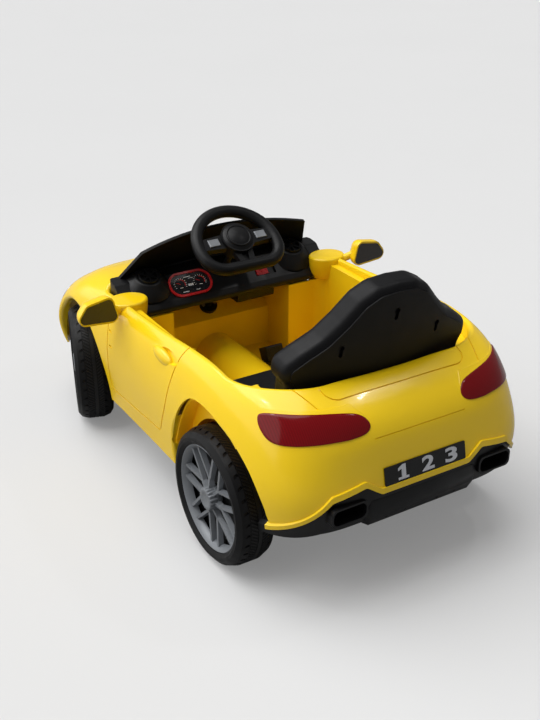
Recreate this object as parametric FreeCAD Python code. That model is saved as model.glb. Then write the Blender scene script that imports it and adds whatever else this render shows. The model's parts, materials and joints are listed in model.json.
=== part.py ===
import FreeCAD, Part
import math
import os
from FreeCAD import Vector

# The car as a whole: millimetres, +X forward, +Y left, +Z up from the floor
body_length = 916.0
body_width = 496.0
hip_height = 336.0
sill_height = 105.0
wall = 4.0
wheel_diameter = 220.0
tyre_width = 66.0
wheelbase = 519.0
rear_axle_x = -247.0
rear_overhang = 211.0
track_width = 440.0
rest_steer_angle = 18.0
steer_lock_angle = 22.0
crank_lock_angle = 37.0

# Fits shared by all pieces
seat_gap = 0.3
running_gap = 0.05
pivot_gap = 0.5
overrun = 30.0
corner_reach_share = 0.48
skin_overrun = 60.0

# Form of the body: levels from below the sill up to the crown, as shares
level_height_shares = (-0.09, 0, 0.19, 0.38, 0.64, 0.806, 0.91, 0.962, 1, 1, 1, 1, 1, 1)
side_inset_shares = (
    0.04, 0.028, 0.012, 0, 0.008, 0.036, 0.077, 0.125, 0.185, 0.371, 0.565, 0.742, 0.895, 1
)
rear_inset_shares = (0.18, 0.13, 0.05, 0, 0.05, 0.10, 0.19, 0.315, 0.485, 0.58, 0.68, 0.79, 0.91, 1)
nose_inset_shares = (
    0.055, 0.036, 0.006, 0, 0.017, 0.056, 0.123, 0.213, 0.314, 0.448, 0.594, 0.734, 0.868, 1
)
tail_square_shares = (5.6, 5.6, 5.6, 5.6, 5.1, 4.6, 4.3, 4.0, 3.8, 3.4, 3.0, 2.8, 2.6, 2.4)
nose_square_shares = (7.0, 7.0, 7.0, 7.0, 6.4, 5.4, 4.6, 4.2, 3.8, 3.4, 3.0, 2.8, 2.6, 2.4)
tail_roll = 165.0
bonnet_reach = 357.0
nose_lead = 1.6
belt_place_shares = (
    -1.03, -0.873, -0.72, -0.526, -0.345, -0.09, 0.262, 0.437, 0.609, 0.745, 0.873, 0.961, 1.03
)
belt_height_shares = (0.881, 0.946, 0.985, 1, 0.985, 0.949, 0.92, 0.902, 0.872, 0.812, 0.73, 0.625, 0.491)
crown_height = 10.0
crown_place_shares = (-1, -0.655, 0, 0.437, 1.03)
crown_rise_shares = (-1, -0.6, 0.4, 0.6, 0.5)
wing_swell_share = 0.02
hip_swell_share = 0.012
swell_length = 115.0
wing_swell_lead = 30.0
loop_steps = 56

# Openings of the body
cockpit_front = 185.0
cockpit_rear = -356.0
cockpit_rail = 35.0
cockpit_rear_corner = 105.0
cockpit_front_corner = 20.0
lip_round = 6.0
flange_foot = 272.0
rear_arch_radius = 126.0
rear_arch_rise = 18.0
rear_arch_shift = -6.0
front_arch_radius = 130.0
front_arch_rise = 4.0
front_arch_shift = -7.0
front_lip_depth = 22.0
rear_well_inside = 178.0
front_well_inside = 135.0
door_front = 118.0
door_foot = 134.0
door_rear_foot = -84.0
door_rear_foot_height = 147.0
door_rear_waist = -112.0
door_rear_top = -172.0
door_waist_height = 205.0
door_top = 380.0
door_corner = 12.0
groove_width = 2.2
groove_depth = 1.6
seam_start = (-330.0, 170.0)
seam_end = (-400.0, 144.0)
deck_line_rear = -390.5
deck_line_half = 128.0
deck_line_round = 24.0
crease_height = 262.0
crease_half = 82.0
crease_width = 1.5
gill_places = ((106.0, 251.0), (102.0, 224.0))
gill_length = 12.0
gill_height = 5.0
handle_length = 70.0
handle_height = 21.0
handle_bulge = 22.0
handle_x = -108.0
handle_sink = 8.0
handle_z = 293.0

# Lights, grille and plate set into the body's skin
lens_thickness = 6.0
tail_light_length = 156.0
tail_light_height = 43.0
tail_light_foot = 262.0
tail_light_inner = -115.6
tail_light_outline_shares = (
    (1, 0.98), (0.2, 0.98), (0, 0.55), (0.2, 0.14), (0.7, 0), (0.9, 0.18), (1.01, 0.6)
)
headlight_length = 142.0
headlight_height = 58.0
headlight_foot = 182.0
headlight_inner = -97.6
headlight_outline_shares = ((0, 0.1), (0.14, 0.46), (0.78, 1), (1, 1), (0.98, 0.62), (0.72, 0.3), (0.2, 0))
corner_light_round = 9.0
corner_light_sink = 147.2
corner_light_depth = 120.0
corner_light_turn_share = 0.6
grille_foot = 122.0
grille_top = 176.0
grille_half_foot = 112.0
grille_half_top = 92.0
grille_round = 14.0
grille_depth = 8.0
grille_slat_count = 7
grille_slat_gap = 19.0
plate_half_width = 74.0
plate_foot = 191.0
plate_top = 219.0
plate_thickness = 1.8
plate_stand_in = 0.3
plate_set_back = 5.9
plate_round = 2.0

# Rear diffuser and exhaust tips
bumper_edge_y = (226.0, 160.0, 106.0, 80.0)
bumper_edge_z = (126.0, 190.0, 200.0, 182.0)
diffuser_foot_y = (86.0, 165.0, 226.0)
diffuser_foot_z = (133.0, 128.0, 112.0)
diffuser_front = -360.0
diffuser_thickness = 6.0
diffuser_inset = 2.0
bumper_lip = 9.0
bumper_lip_rise = 3.0
exhaust_width = 62.0
exhaust_height = 30.0
exhaust_y = 134.0
exhaust_z = 166.0
exhaust_length = 46.0
exhaust_wall = 3.0
exhaust_round = 9.0
exhaust_stand_out = 1.5
fin_y = (28.0, 62.0)
fin_thickness = 4.0
fin_height = 30.0
fin_depth = 26.0

# Cockpit tub and chassis tray
tub_rear = -349.0
tub_step = -116.0
tub_waist = 110.0
tub_seat_half = 172.0
tub_door_gap = 11.0
tub_nose_half = 126.0
tub_floor = 112.0
tub_seat_height = 206.0
tub_rim = 292.0
tub_rear_height = 246.0
tub_rim_thickness = 4.0
tub_corner = 22.0
tub_floor_round = 14.0
bulkhead_foot = 186.0
shelf_front = 238.0
shelf_top = 271.5
tunnel_half = 44.0
tunnel_height = 46.0
tray_thickness = 6.0
tray_rear = -372.0
tray_front = 250.0
tray_half = 160.0
tray_front_half = 132.0
tray_side_gap = 18.0
tray_wing_rear = -112.0
tray_wing_front = 112.0
tray_round = 16.0

# Steering gear
steer_centre = (90.0, 0.0, 375.0)
column_run = 120.0
column_drop = 175.0
column_radius = 6.0
column_length = 252.0
crank_reach = 25.0
crank_radius = 4.0
crank_length = 16.0
bush_radius = 17.0
bush_screw_share = 0.7
bush_thickness = 8.0
bush_place = 206.0
rim_tube = 11.0
rim_arc = 75.9
rim_top = 67.0
rim_corner = 38.0
rim_flat_half = 37.0
rim_foot = -55.0
spoke_width = 22.0
spoke_root_width = 34.0
spoke_thickness = 12.0
strut_width = 11.0
strut_root_half = 24.0
strut_tip_half = 13.0
strut_web_share = 0.35
hub_radius = 31.0
hub_height = 24.0
cap_radius = 28.0
cap_rise = 9.0
cap_seat = 4.0
button_length = 21.0
button_width = 15.0
button_thickness = 5.0
button_place = 47.0
button_travel = 2.0
button_stand_out = 2.6
kingpin_half = 172.0
kingpin_radius = 5.0
kingpin_foot = 76.0
kingpin_top = 146.0
beam_foot = 82.0
beam_top = 138.0
beam_plate = 4.0
beam_rear = 258.0
beam_front = 292.0
beam_half = 184.0
beam_tongue_half = 62.0
beam_tongue_rear = 224.0
beam_post_x = 238.0
beam_post_y = 46.0
beam_post_radius = 8.0
knuckle_sleeve_radius = 9.0
stub_radius = 5.0
stub_end = 63.0
arm_reach = 40.0
arm_width = 16.0
arm_thickness = 4.0
arm_foot = 142.0
arm_pin_radius = 3.0
arm_pin_height = 11.0
tie_rod_thickness = 4.0
tie_rod_width = 18.0
tie_rod_foot = 148.0
tie_slot_half = 5.6
crank_slot_half = 10.6
crank_slot_lead = 8.4
crank_slot_wall = 6.0

# Wheels
tyre_shoulder = 12.0
tread_edge_share = 1.4
rim_radius = 87.0
rim_recess = 17.0
rim_back_recess = 24.0
wheel_hub_radius = 17.0
lug_count = 36
lug_width = 4.6
lug_depth = 2.6
lug_length = 22.0
lug_skew_angle = 24.0
hubcap_thickness = 7.0
hubcap_lip = 3.0
hubcap_lip_depth = 5.0
hubcap_barrel = 9.0
hubcap_centre_radius = 18.0
hubcap_centre_depth = 8.0
hubcap_notch_count = 12
hubcap_notch_depth = 1.6
spoke_count = 7
hub_spoke_foot = 13.0
hub_spoke_ridge = 5.0
hub_spoke_depth = 14.0
hub_spoke_dip = 3.0
hub_spoke_split_share = 0.36
hub_spoke_reach_angle = 18.3
hub_spoke_rest_angle = -21.0
nut_radius = 9.0
nut_height = 8.0
nut_recess = 11.0
axle_radius = 5.0
axle_stand_out = 15.0
washer_radius = 10.0
washer_thickness = 1.6
axle_post_y = 150.0
axle_post_length = 40.0
axle_post_width = 12.0

# Drive, battery and electrics
gearbox_length = 92.0
gearbox_width = 34.0
gearbox_height = 72.0
gearbox_round = 14.0
motor_radius = 18.0
motor_length = 58.0
motor_offset = 52.0
battery_length = 98.0
battery_width = 70.0
battery_height = 46.0
battery_x = -170.0
clamp_width = 22.0
clamp_thickness = 2.4
module_length = 74.0
module_width = 52.0
module_height = 24.0
module_y = 96.0
speaker_radius = 26.0
speaker_depth = 20.0
speaker_z = 252.0
socket_radius = 9.0
socket_body = 6.3
socket_bore = 2.8
socket_depth = 16.0
socket_flange = 4.0
socket_x = -140.0
socket_y = -190.0
pedal_x = 74.0
pedal_y = -70.0
pedal_length = 31.0
pedal_width = 36.0
pedal_thickness = 28.0
pedal_angle = 62.0
pedal_pin_radius = 3.0
pedal_pin_rise = 12.0
pedal_ear = 5.0
pedal_ear_height = 18.0

# Dashboard
dash_outline_x = (108.0, 104.0, 112.0, 150.0, 184.0, 184.0, 140.0)
dash_outline_z = (258.0, 268.0, 278.0, 313.0, 318.0, 296.0, 262.0)
dash_round = 7.0
cowl_thickness = 5.0
cowl_foot = (180.0, 199.0, 304.0)
cowl_foot_middle = (186.0, 0.0, 316.0)
cowl_top = (124.0, 168.0, 372.0)
cowl_top_middle = (138.0, 0.0, 391.0)
bezel_length = 86.0
bezel_height = 48.0
bezel_ring = 4.0
bezel_rise = 3.0
bezel_y = 74.0
panel_rise = 1.2
vent_radius = 22.5
vent_top_radius = 17.5
vent_height = 21.0
vent_foot = 304.0
vent_lean_angle = 24.0
vent_recess = 5.0
vent_y = 150.0
vent_fins = 6
vent_fin_width = 3.0
box_front = 168.0
box_rear = 118.0
box_foot = 240.0
box_inner = -18.0
box_outer = -96.0
switch_y = -76.0
switch_length = 24.0
switch_width = 11.0
switch_depth = 9.0
switch_crown = 2.6
switch_recess_length = 54.0
switch_recess_width = 17.0
switch_recess_depth = 5.0
switch_share = 0.36
switch_pin_radius = 1.2
switch_pin_reach = 2.0
switch_end_gap = 1.2
bezel_share = 0.5

# Seat
seat_lean_angle = 9.5
seat_back_foot_x = -336.0
seat_back_foot_z = 214.0
seat_depth = 46.0
seat_wrap_radius = 640.0
seat_outline_y = (0.0, 34.0, 60.0, 86.0, 112.0, 142.0, 167.0, 167.0)
seat_outline_z = (458.0, 455.0, 440.0, 410.0, 384.0, 364.0, 344.0, 322.0)
seat_foot_half = 158.0
seat_back_round = 14.0
seat_panel_inset = 10.0
seat_panel_thickness = 5.0
seat_panel_proud = 2.0
seat_dish = 14.0
seat_dish_border = 26.0
keyhole_radius = 5.0
keyhole_slot = 3.2
keyhole_drop = 12.0
keyhole_y = 86.0
keyhole_z = 371.0
keyhole_middle_z = 416.0
cushion_front = -130.0
cushion_half = 150.0
cushion_top = 238.0
cushion_round = 16.0

# Mirrors
mirror_glass_x = 67.0
mirror_stand_out_y = (-2.0, 8.0, 48.0, 67.0)
mirror_points_z = (289.0, 328.0, 321.0, 295.0)
mirror_border = 5.0
mirror_waist_share = 0.92
mirror_depth = 34.0
mirror_round = 8.0
mirror_nose_share = 0.55
mirror_glass_thickness = 2.5
mirror_glass_recess = 2.0
mirror_arm_x = 92.0
mirror_arm_sink = 22.0
mirror_arm_z = 292.0
mirror_arm_radius = 7.0

# Small fixings
screw_radius = 3.2
screw_head_height = 2.4

# Places worked out from the sizes above
half_length = body_length / 2
half_width = body_width / 2
cockpit_half_width = half_width - cockpit_rail
tub_door_half = cockpit_half_width - tub_door_gap
wheel_radius = wheel_diameter / 2
body_rear = rear_axle_x - rear_overhang
body_nose = body_rear + body_length
body_middle = body_rear + half_length
front_axle_x = rear_axle_x + wheelbase
wheel_mid_y = track_width / 2
axle_half = wheel_mid_y + axle_stand_out
mirror_points_y = [half_width + stand_out for stand_out in mirror_stand_out_y]
column_size = math.hypot(column_run, column_drop)
column_axis = Vector(-column_run / column_size, 0, column_drop / column_size)
wheel_up = Vector(column_drop / column_size, 0, column_run / column_size)
right = Vector(0, -1, 0)
up = Vector(0, 0, 1)
forward = Vector(1, 0, 0)
left = Vector(0, 1, 0)
origin = Vector(0, 0, 0)
tray_top = sill_height - seat_gap


def block(x_low, x_high, y_low, y_high, z_low, z_high):
    """Box between two corners."""
    return Part.makeBox(x_high - x_low, y_high - y_low, z_high - z_low, Vector(x_low, y_low, z_low))


def rod(start, direction, length, radius):
    """Round bar from a point along a direction."""
    return Part.makeCylinder(radius, length, start, direction)


def flip(shape):
    """The same shape on the car's other side."""
    return shape.mirror(origin, left)


def rounded(points, radius):
    """Closed wire through the points with every corner rounded as far as its sides allow."""
    count = len(points)
    starts = []
    ends = []
    edges = []
    for i in range(count):
        here = points[i]
        back = points[i - 1] - here
        ahead = points[(i + 1) % count] - here
        half_turn = back.getAngle(ahead) / 2
        cut = min(radius / math.tan(half_turn), corner_reach_share * min(back.Length, ahead.Length))
        bend = cut * math.tan(half_turn)
        start = here + back.normalize() * cut
        end = here + ahead.normalize() * cut
        bisector = (back + ahead).normalize()
        middle = here + bisector * (bend / math.sin(half_turn) - bend)
        starts.append(start)
        ends.append(end)
        edges.append(Part.Arc(start, middle, end).toShape())
    for i in range(count):
        nxt = starts[(i + 1) % count]
        if (nxt - ends[i]).Length > seat_gap / 100:
            edges.append(Part.makeLine(ends[i], nxt))
    return Part.Wire(Part.__sortEdges__(edges))


def prism(points, radius, way):
    """Extruded outline with rounded corners."""
    wire = rounded(points, radius) if radius else Part.makePolygon(points + [points[0]])
    return Part.Face(wire).extrude(way)


def smooth(places, values, at):
    """Cubic through the values, with its slopes from the neighbouring points."""
    last = len(places) - 1
    at = min(max(at, places[0]), places[last])
    i = 0
    while i < last - 1 and at > places[i + 1]:
        i += 1
    slopes = []
    for k in (i, i + 1):
        a = max(k - 1, 0)
        b = min(k + 1, last)
        slopes.append((values[b] - values[a]) / (places[b] - places[a]))
    step = places[i + 1] - places[i]
    t = (at - places[i]) / step
    low = values[i] * (1 + 2 * t) * (1 - t) ** 2 + slopes[0] * step * t * (1 - t) ** 2
    high = values[i + 1] * t * t * (3 - 2 * t) + slopes[1] * step * t * t * (t - 1)
    return low + high


def crown_at(x, y):
    """Height of the body's upper surface."""
    along = (x - body_middle) / half_length
    belt = hip_height * smooth(belt_place_shares, belt_height_shares, along)
    rise = crown_height * smooth(crown_place_shares, crown_rise_shares, along)
    return belt + rise * (1 - min(abs(y) / half_width, 1) ** 2)


def swell_at(x):
    """Widening of the sides round the front wings and the rear hips."""
    wing = wing_swell_share * math.exp(-(((x - front_axle_x - wing_swell_lead) / swell_length) ** 2))
    hip = hip_swell_share * math.exp(-(((x - rear_axle_x) / swell_length) ** 2))
    return 1 + wing + hip


def body_form(inset):
    """Solid of the body's outer form, moved inwards by an inset and open-ended below the sill."""
    last = len(level_height_shares) - 1
    loops = [[] for level in level_height_shares]
    for i in range(loop_steps + 1):
        turn = math.pi * i / loop_steps
        along = math.cos(turn)
        across = 0 if i in (0, loop_steps) else math.sin(turn)
        rear = along > 0
        for k, height_share in enumerate(level_height_shares):
            square = tail_square_shares[k] if rear else nose_square_shares[k]
            taken = tail_roll * rear_inset_shares[k] if rear else bonnet_reach * nose_inset_shares[k]
            reach = half_length + (0 if rear else nose_lead) - taken - inset
            wide = 0 if k == last else half_width * (1 - side_inset_shares[k]) - inset
            scale = (abs(along) ** square + abs(across) ** square) ** (-1 / square)
            x = body_middle - reach * along * scale
            y = wide * across * scale * swell_at(x)
            drop = inset * min(max(height_share, 0), 1)
            z = sill_height + height_share * (crown_at(x, y) - sill_height) - drop
            loops[k].append(Vector(x, y, z))
    steps = [0.0]
    for i in range(loop_steps):
        run = sum((loop[i + 1] - loop[i]).Length for loop in loops[: last - 4])
        steps.append(steps[-1] + run)
    wires = []
    for loop in loops:
        curve = Part.BSplineCurve()
        curve.interpolate(Points=loop, Parameters=[step / steps[-1] for step in steps])
        wires.append(Part.Wire(curve.toShape()))
    skin = Part.makeLoft(wires, False, False).Faces[0]
    edges = sorted(skin.Edges, key=lambda e: abs(e.valueAt((e.FirstParameter + e.LastParameter) / 2).y))
    keel = Part.makeLine(edges[-1].Vertexes[0].Point, edges[-1].Vertexes[-1].Point)
    middle = Part.Face(Part.Wire(Part.__sortEdges__(edges[:-1] + [keel])))
    base = Part.makeRuledSurface(edges[-1], keel)
    shell = Part.makeShell([skin, middle, base])
    shell.sewShape()
    half = Part.makeSolid(shell)
    return half.fuse(flip(half)).removeSplitter().Solids[0]


def both_sides(shape):
    """A shape and its mirror image as a list."""
    return [shape, flip(shape)]


forms = {}


def form(inset):
    """Body form kept for reuse."""
    if inset not in forms:
        forms[inset] = body_form(inset)
    return forms[inset]


def skin_piece(cutter, outside, inside):
    """What a cutter takes out of the layer between two insets of the body form."""
    layer = form(outside).common(cutter).cut(form(inside))
    return max(layer.Solids, key=lambda solid: solid.Volume)


def cockpit_outline(grow, height):
    """Outline of the cockpit opening at a height, grown outwards."""
    front = cockpit_front + grow
    rear = cockpit_rear - grow
    side = cockpit_half_width + grow
    tail = cockpit_rear_corner + grow
    nose = cockpit_front_corner + grow
    wires = []
    slant = math.sqrt(1 / 2)
    corners = (
        (front, side, nose, 1, 1),
        (rear, side, tail, -1, 1),
        (rear, -side, tail, -1, -1),
        (front, -side, nose, 1, -1),
    )
    ends = []
    for x, y, radius, to_front, to_left in corners:
        centre = Vector(x - to_front * radius, y - to_left * radius, height)
        on_end = centre + Vector(to_front * radius, 0, 0)
        on_side = centre + Vector(0, to_left * radius, 0)
        middle = centre + Vector(to_front * radius * slant, to_left * radius * slant, 0)
        first, second = (on_end, on_side) if to_front * to_left > 0 else (on_side, on_end)
        wires.append(Part.Arc(first, middle, second).toShape())
        ends.append((first, second))
    for i in range(4):
        wires.append(Part.makeLine(ends[i][1], ends[(i + 1) % 4][0]))
    return Part.Wire(Part.__sortEdges__(wires))


def cockpit_prism(grow, low, high):
    """Upright prism on the cockpit outline."""
    return Part.Face(cockpit_outline(grow, low)).extrude(Vector(0, 0, high - low))


def arch(x, shift, rise, radius, inside, outside):
    """Round cutter for one wheel arch on the left."""
    centre = Vector(x + shift, inside, wheel_radius + rise)
    return rod(centre, left, outside - inside, radius)


def corner_light(outline_shares, inner, foot, length, height, end_x):
    """Outline of a light that wraps round a corner of the body on the left, and the way it faces."""
    along = math.copysign(math.sqrt(1 - corner_light_turn_share ** 2), end_x - body_middle)
    view = Vector(along, corner_light_turn_share, 0)
    cross = Vector(-math.copysign(corner_light_turn_share, along), abs(along), 0)
    corner = Vector(end_x, half_width, foot) - view * corner_light_sink
    points = []
    for length_share, height_share in outline_shares:
        points.append(corner + cross * (inner + length * length_share) + up * (height * height_share))
    return points, view


def light_cutter(outline_shares, inner, foot, length, height, end_x, shrink):
    """Extruded light outline, made smaller by a fit."""
    points, view = corner_light(outline_shares, inner, foot, length, height, end_x)
    wire = rounded(points, corner_light_round)
    if shrink:
        wire = wire.makeOffset2D(-shrink)
    return Part.Face(wire).extrude(view * corner_light_depth)


def tail_light_cutter(shrink):
    size = (tail_light_inner, tail_light_foot, tail_light_length, tail_light_height)
    return light_cutter(tail_light_outline_shares, *size, body_rear, shrink)


def headlight_cutter(shrink):
    size = (headlight_inner, headlight_foot, headlight_length, headlight_height)
    return light_cutter(headlight_outline_shares, *size, body_nose, shrink)


def grille_cutter(shrink):
    points = [
        Vector(0, y, z)
        for y, z in (
            (grille_half_foot - shrink, grille_foot + shrink),
            (grille_half_top - shrink, grille_top - shrink),
            (shrink - grille_half_top, grille_top - shrink),
            (shrink - grille_half_foot, grille_foot + shrink),
        )
    ]
    return prism(points, grille_round, Vector(body_length, 0, 0))


def diffuser_cutter(shrink):
    """Everything below the bumper's lower edge, seen from behind."""
    upper = [(y, z - shrink) for y, z in zip(bumper_edge_y, bumper_edge_z)]
    outer = (bumper_edge_y[0] + overrun, bumper_edge_z[0] - shrink)
    low = sill_height - overrun
    half = [outer] + upper
    points = [Vector(-body_length, y, z) for y, z in half]
    points += [Vector(-body_length, -y, z) for y, z in reversed(half)]
    points += [Vector(-body_length, -outer[0], low), Vector(-body_length, outer[0], low)]
    return prism(points, corner_light_round, Vector(body_length + diffuser_front, 0, 0))


def skin_groove(outline, way, width, depth):
    """Channel along a closed outline drawn through the skin."""
    face = Part.Face(outline).cut(Part.Face(outline.makeOffset2D(-width)))
    return face.extrude(way).common(form(0)).cut(form(depth))


def door_groove():
    """Narrow channel along the moulded door line on the left."""
    points = [
        Vector(door_front, 0, door_top),
        Vector(door_front, 0, door_foot),
        Vector(door_rear_foot, 0, door_rear_foot_height),
        Vector(door_rear_waist, 0, door_waist_height),
        Vector(door_rear_top, 0, door_top),
    ]
    return skin_groove(rounded(points, door_corner), Vector(0, body_width, 0), groove_width, groove_depth)


def deck_grooves():
    """Boot-lid line, a seam from the cockpit to each tail light and the crease between the lights."""
    rise = Vector(0, 0, 2 * hip_height)
    front = cockpit_rear + overrun
    corners = ((front, deck_line_half), (deck_line_rear, deck_line_half))
    corners += ((deck_line_rear, -deck_line_half), (front, -deck_line_half))
    lid = rounded([Vector(x, y, sill_height) for x, y in corners], deck_line_round)
    grooves = [skin_groove(lid, rise, groove_width, groove_depth)]
    start = Vector(*seam_start, sill_height)
    end = Vector(*seam_end, sill_height)
    across = up.cross(end - start).normalize() * groove_width
    seam = prism([start, end, end + across, start + across], 0, rise)
    grooves += both_sides(seam.common(form(0)).cut(form(groove_depth)))
    low = crease_height
    crease = block(-body_length, deck_line_rear, -crease_half, crease_half, low, low + crease_width)
    grooves.append(crease.common(form(0)).cut(form(crease_width)))
    return grooves


def gills():
    """Two short slots in the wing in front of the door on the left."""
    slots = []
    for x, z in gill_places:
        slot = ellipsoid((x, half_width, z), gill_length, body_width / 2, gill_height)
        slots.append(slot.common(form(0)).cut(form(groove_depth)))
    return slots


def ellipsoid(place, length, width, height):
    """Egg-shaped bump."""
    ball = Part.makeSphere(1)
    grow = FreeCAD.Matrix()
    grow.scale(length / 2, width / 2, height / 2)
    bump = ball.transformGeometry(grow)
    bump.translate(Vector(*place))
    return bump


def lip_edge(edge):
    """True for the edges where the outer skin turns in at the cockpit and at the wheel arches."""
    box = edge.BoundBox
    middle = edge.valueAt((edge.FirstParameter + edge.LastParameter) / 2)
    inside = box.XMin > cockpit_rear - seat_gap and box.XMax < cockpit_front + seat_gap
    if inside and box.ZMin > flange_foot - wall and abs(middle.y) < cockpit_half_width + seat_gap:
        return True
    upright = box.ZMin < sill_height + seat_gap and box.ZMax > sill_height + wheel_radius / 2
    return upright and abs(middle.y) > cockpit_half_width + wall


def bumper_bead(arches):
    """Rolled lip along the rear bumper's lower edge."""
    band = diffuser_cutter(-bumper_lip).cut(diffuser_cutter(0))
    bead = form(-bumper_lip_rise).common(band).cut(form(wall / 2)).cut(arches)
    return max(bead.Solids, key=lambda solid: solid.Volume)


def body_shell():
    beyond = half_width + skin_overrun
    rear_arch = (rear_axle_x, rear_arch_shift, rear_arch_rise)
    front_arch = (front_axle_x, front_arch_shift, front_arch_rise)
    arches = both_sides(arch(*rear_arch, rear_arch_radius, rear_well_inside, beyond))
    arches += both_sides(arch(*front_arch, front_arch_radius, front_well_inside, beyond))
    cutters = [cockpit_prism(0, 0, 2 * hip_height)] + arches
    growers = [cockpit_prism(wall, flange_foot, 2 * hip_height)]
    growers += both_sides(arch(*rear_arch, rear_arch_radius + wall, rear_well_inside, beyond))
    lip_inside = half_width - front_lip_depth - wall
    growers += both_sides(arch(*front_arch, front_arch_radius + wall, lip_inside, beyond))
    cutters.append(block(-body_length, body_length, -body_width, body_width, -body_width, sill_height))
    outer = form(0).cut(cutters)
    outer = outer.makeFillet(lip_round, [edge for edge in outer.Edges if lip_edge(edge)])
    shell = outer.cut(form(wall).cut(growers))
    shell = shell.cut(both_sides(door_groove()) + deck_grooves())
    for slot in gills():
        shell = shell.cut(both_sides(slot))
    shell = shell.cut([diffuser_cutter(0), grille_cutter(0)])
    shell = shell.cut(both_sides(tail_light_cutter(0)) + both_sides(headlight_cutter(0)))
    handle_place = (handle_x, half_width - handle_sink, handle_z)
    handle = ellipsoid(handle_place, handle_length, handle_bulge, handle_height).cut(form(wall / 2))
    return shell.fuse(both_sides(handle) + [bumper_bead(arches)]).removeSplitter()


def tail_light():
    return skin_piece(tail_light_cutter(seat_gap), -seat_gap, lens_thickness)


def headlight():
    return skin_piece(headlight_cutter(seat_gap), -seat_gap, lens_thickness)


def front_grille():
    panel = skin_piece(grille_cutter(seat_gap), wall / 2, wall / 2 + grille_depth)
    pitch = (grille_top - grille_foot) / grille_slat_count
    slots = []
    for row in range(1, grille_slat_count):
        z = grille_foot + pitch * row
        for side in (-1, 1):
            y_near = side * grille_slat_gap / 4
            y_far = side * (grille_half_top - grille_slat_gap / 2)
            low, high = sorted((y_near, y_far))
            slots.append(block(0, body_length, low, high, z - pitch / 4, z + pitch / 4))
    return panel.cut(slots)


def number_plate():
    """Flat plate standing on the rear face, tilted with it."""
    tilt = math.atan2(plate_set_back, plate_top - plate_foot)
    points = [
        Vector(0, y, z)
        for y, z in (
            (plate_half_width, 0),
            (plate_half_width, plate_top - plate_foot),
            (-plate_half_width, plate_top - plate_foot),
            (-plate_half_width, 0),
        )
    ]
    plate = prism(points, plate_round, Vector(-plate_thickness, 0, 0))
    plate.rotate(origin, left, math.degrees(tilt))
    plate.translate(Vector(body_rear + plate_stand_in, 0, plate_foot))
    return plate


def exhaust_profile(grow, start, length):
    half_wide = exhaust_width / 2 + grow
    half_high = exhaust_height / 2 + grow
    points = [
        Vector(start, exhaust_y + y, exhaust_z + z)
        for y, z in (
            (half_wide, -half_high),
            (half_wide, half_high),
            (-half_wide, half_high),
            (-half_wide, -half_high),
        )
    ]
    return prism(points, exhaust_round, Vector(length, 0, 0))


def exhaust_tip():
    start = body_rear - exhaust_stand_out
    tube = exhaust_profile(0, start, exhaust_length)
    depth = exhaust_length + overrun - exhaust_wall
    return tube.cut(exhaust_profile(-exhaust_wall, start - overrun, depth))


def rear_diffuser():
    beside = overrun + bumper_edge_y[0]
    low_cut = [(beside, sill_height - 2 * overrun), (beside, diffuser_foot_z[2])]
    low_cut += [(y, z) for y, z in zip(reversed(diffuser_foot_y), reversed(diffuser_foot_z))]
    points = [Vector(-body_length, y, z) for y, z in low_cut]
    points += [Vector(-body_length, -y, z) for y, z in reversed(low_cut)]
    under = prism(points, 0, Vector(body_length + diffuser_front + overrun, 0, 0))
    back = diffuser_inset + diffuser_thickness
    panel = skin_piece(diffuser_cutter(seat_gap), diffuser_inset, back).cut(under)
    holes = exhaust_profile(seat_gap, -body_length, body_length)
    panel = panel.cut(both_sides(holes))
    fins = []
    foot = diffuser_foot_z[0]
    for y in fin_y:
        fin_front = body_rear + diffuser_inset + diffuser_thickness / 2
        fin = [
            Vector(fin_front, y, foot),
            Vector(fin_front, y, foot + fin_height),
            Vector(fin_front + fin_depth, y, foot + fin_height),
            Vector(fin_front + fin_depth, y, foot),
        ]
        fins += both_sides(prism(fin, 0, Vector(0, fin_thickness, 0)))
    return panel.fuse(fins).removeSplitter()


def shelf_z(x):
    """Height of the sloping shelf that carries the steering column's bush, square to the column."""
    seat = Vector(*steer_centre) - column_axis * (bush_place + running_gap)
    return seat.z + (x - seat.x) * column_run / column_drop


def side_prism(points, half):
    """Outline of x and z pairs drawn across the car from one side to the other."""
    wire = Part.makePolygon([Vector(x, -half, z) for x, z in points + [points[0]]])
    return Part.Face(wire).extrude(Vector(0, 2 * half, 0))


def basin(rear, front, half):
    """Room cut out above the tub's floor, with rounded corners and a rounded foot."""
    room = block(rear, front, -half, half, tub_floor, body_length)
    room = room.makeFillet(tub_corner, [e for e in room.Edges if e.BoundBox.ZLength > body_length / 2])
    foot = [e for e in room.Edges if e.BoundBox.ZMax < tub_floor + seat_gap]
    return room.makeFillet(tub_floor_round, foot)


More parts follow.
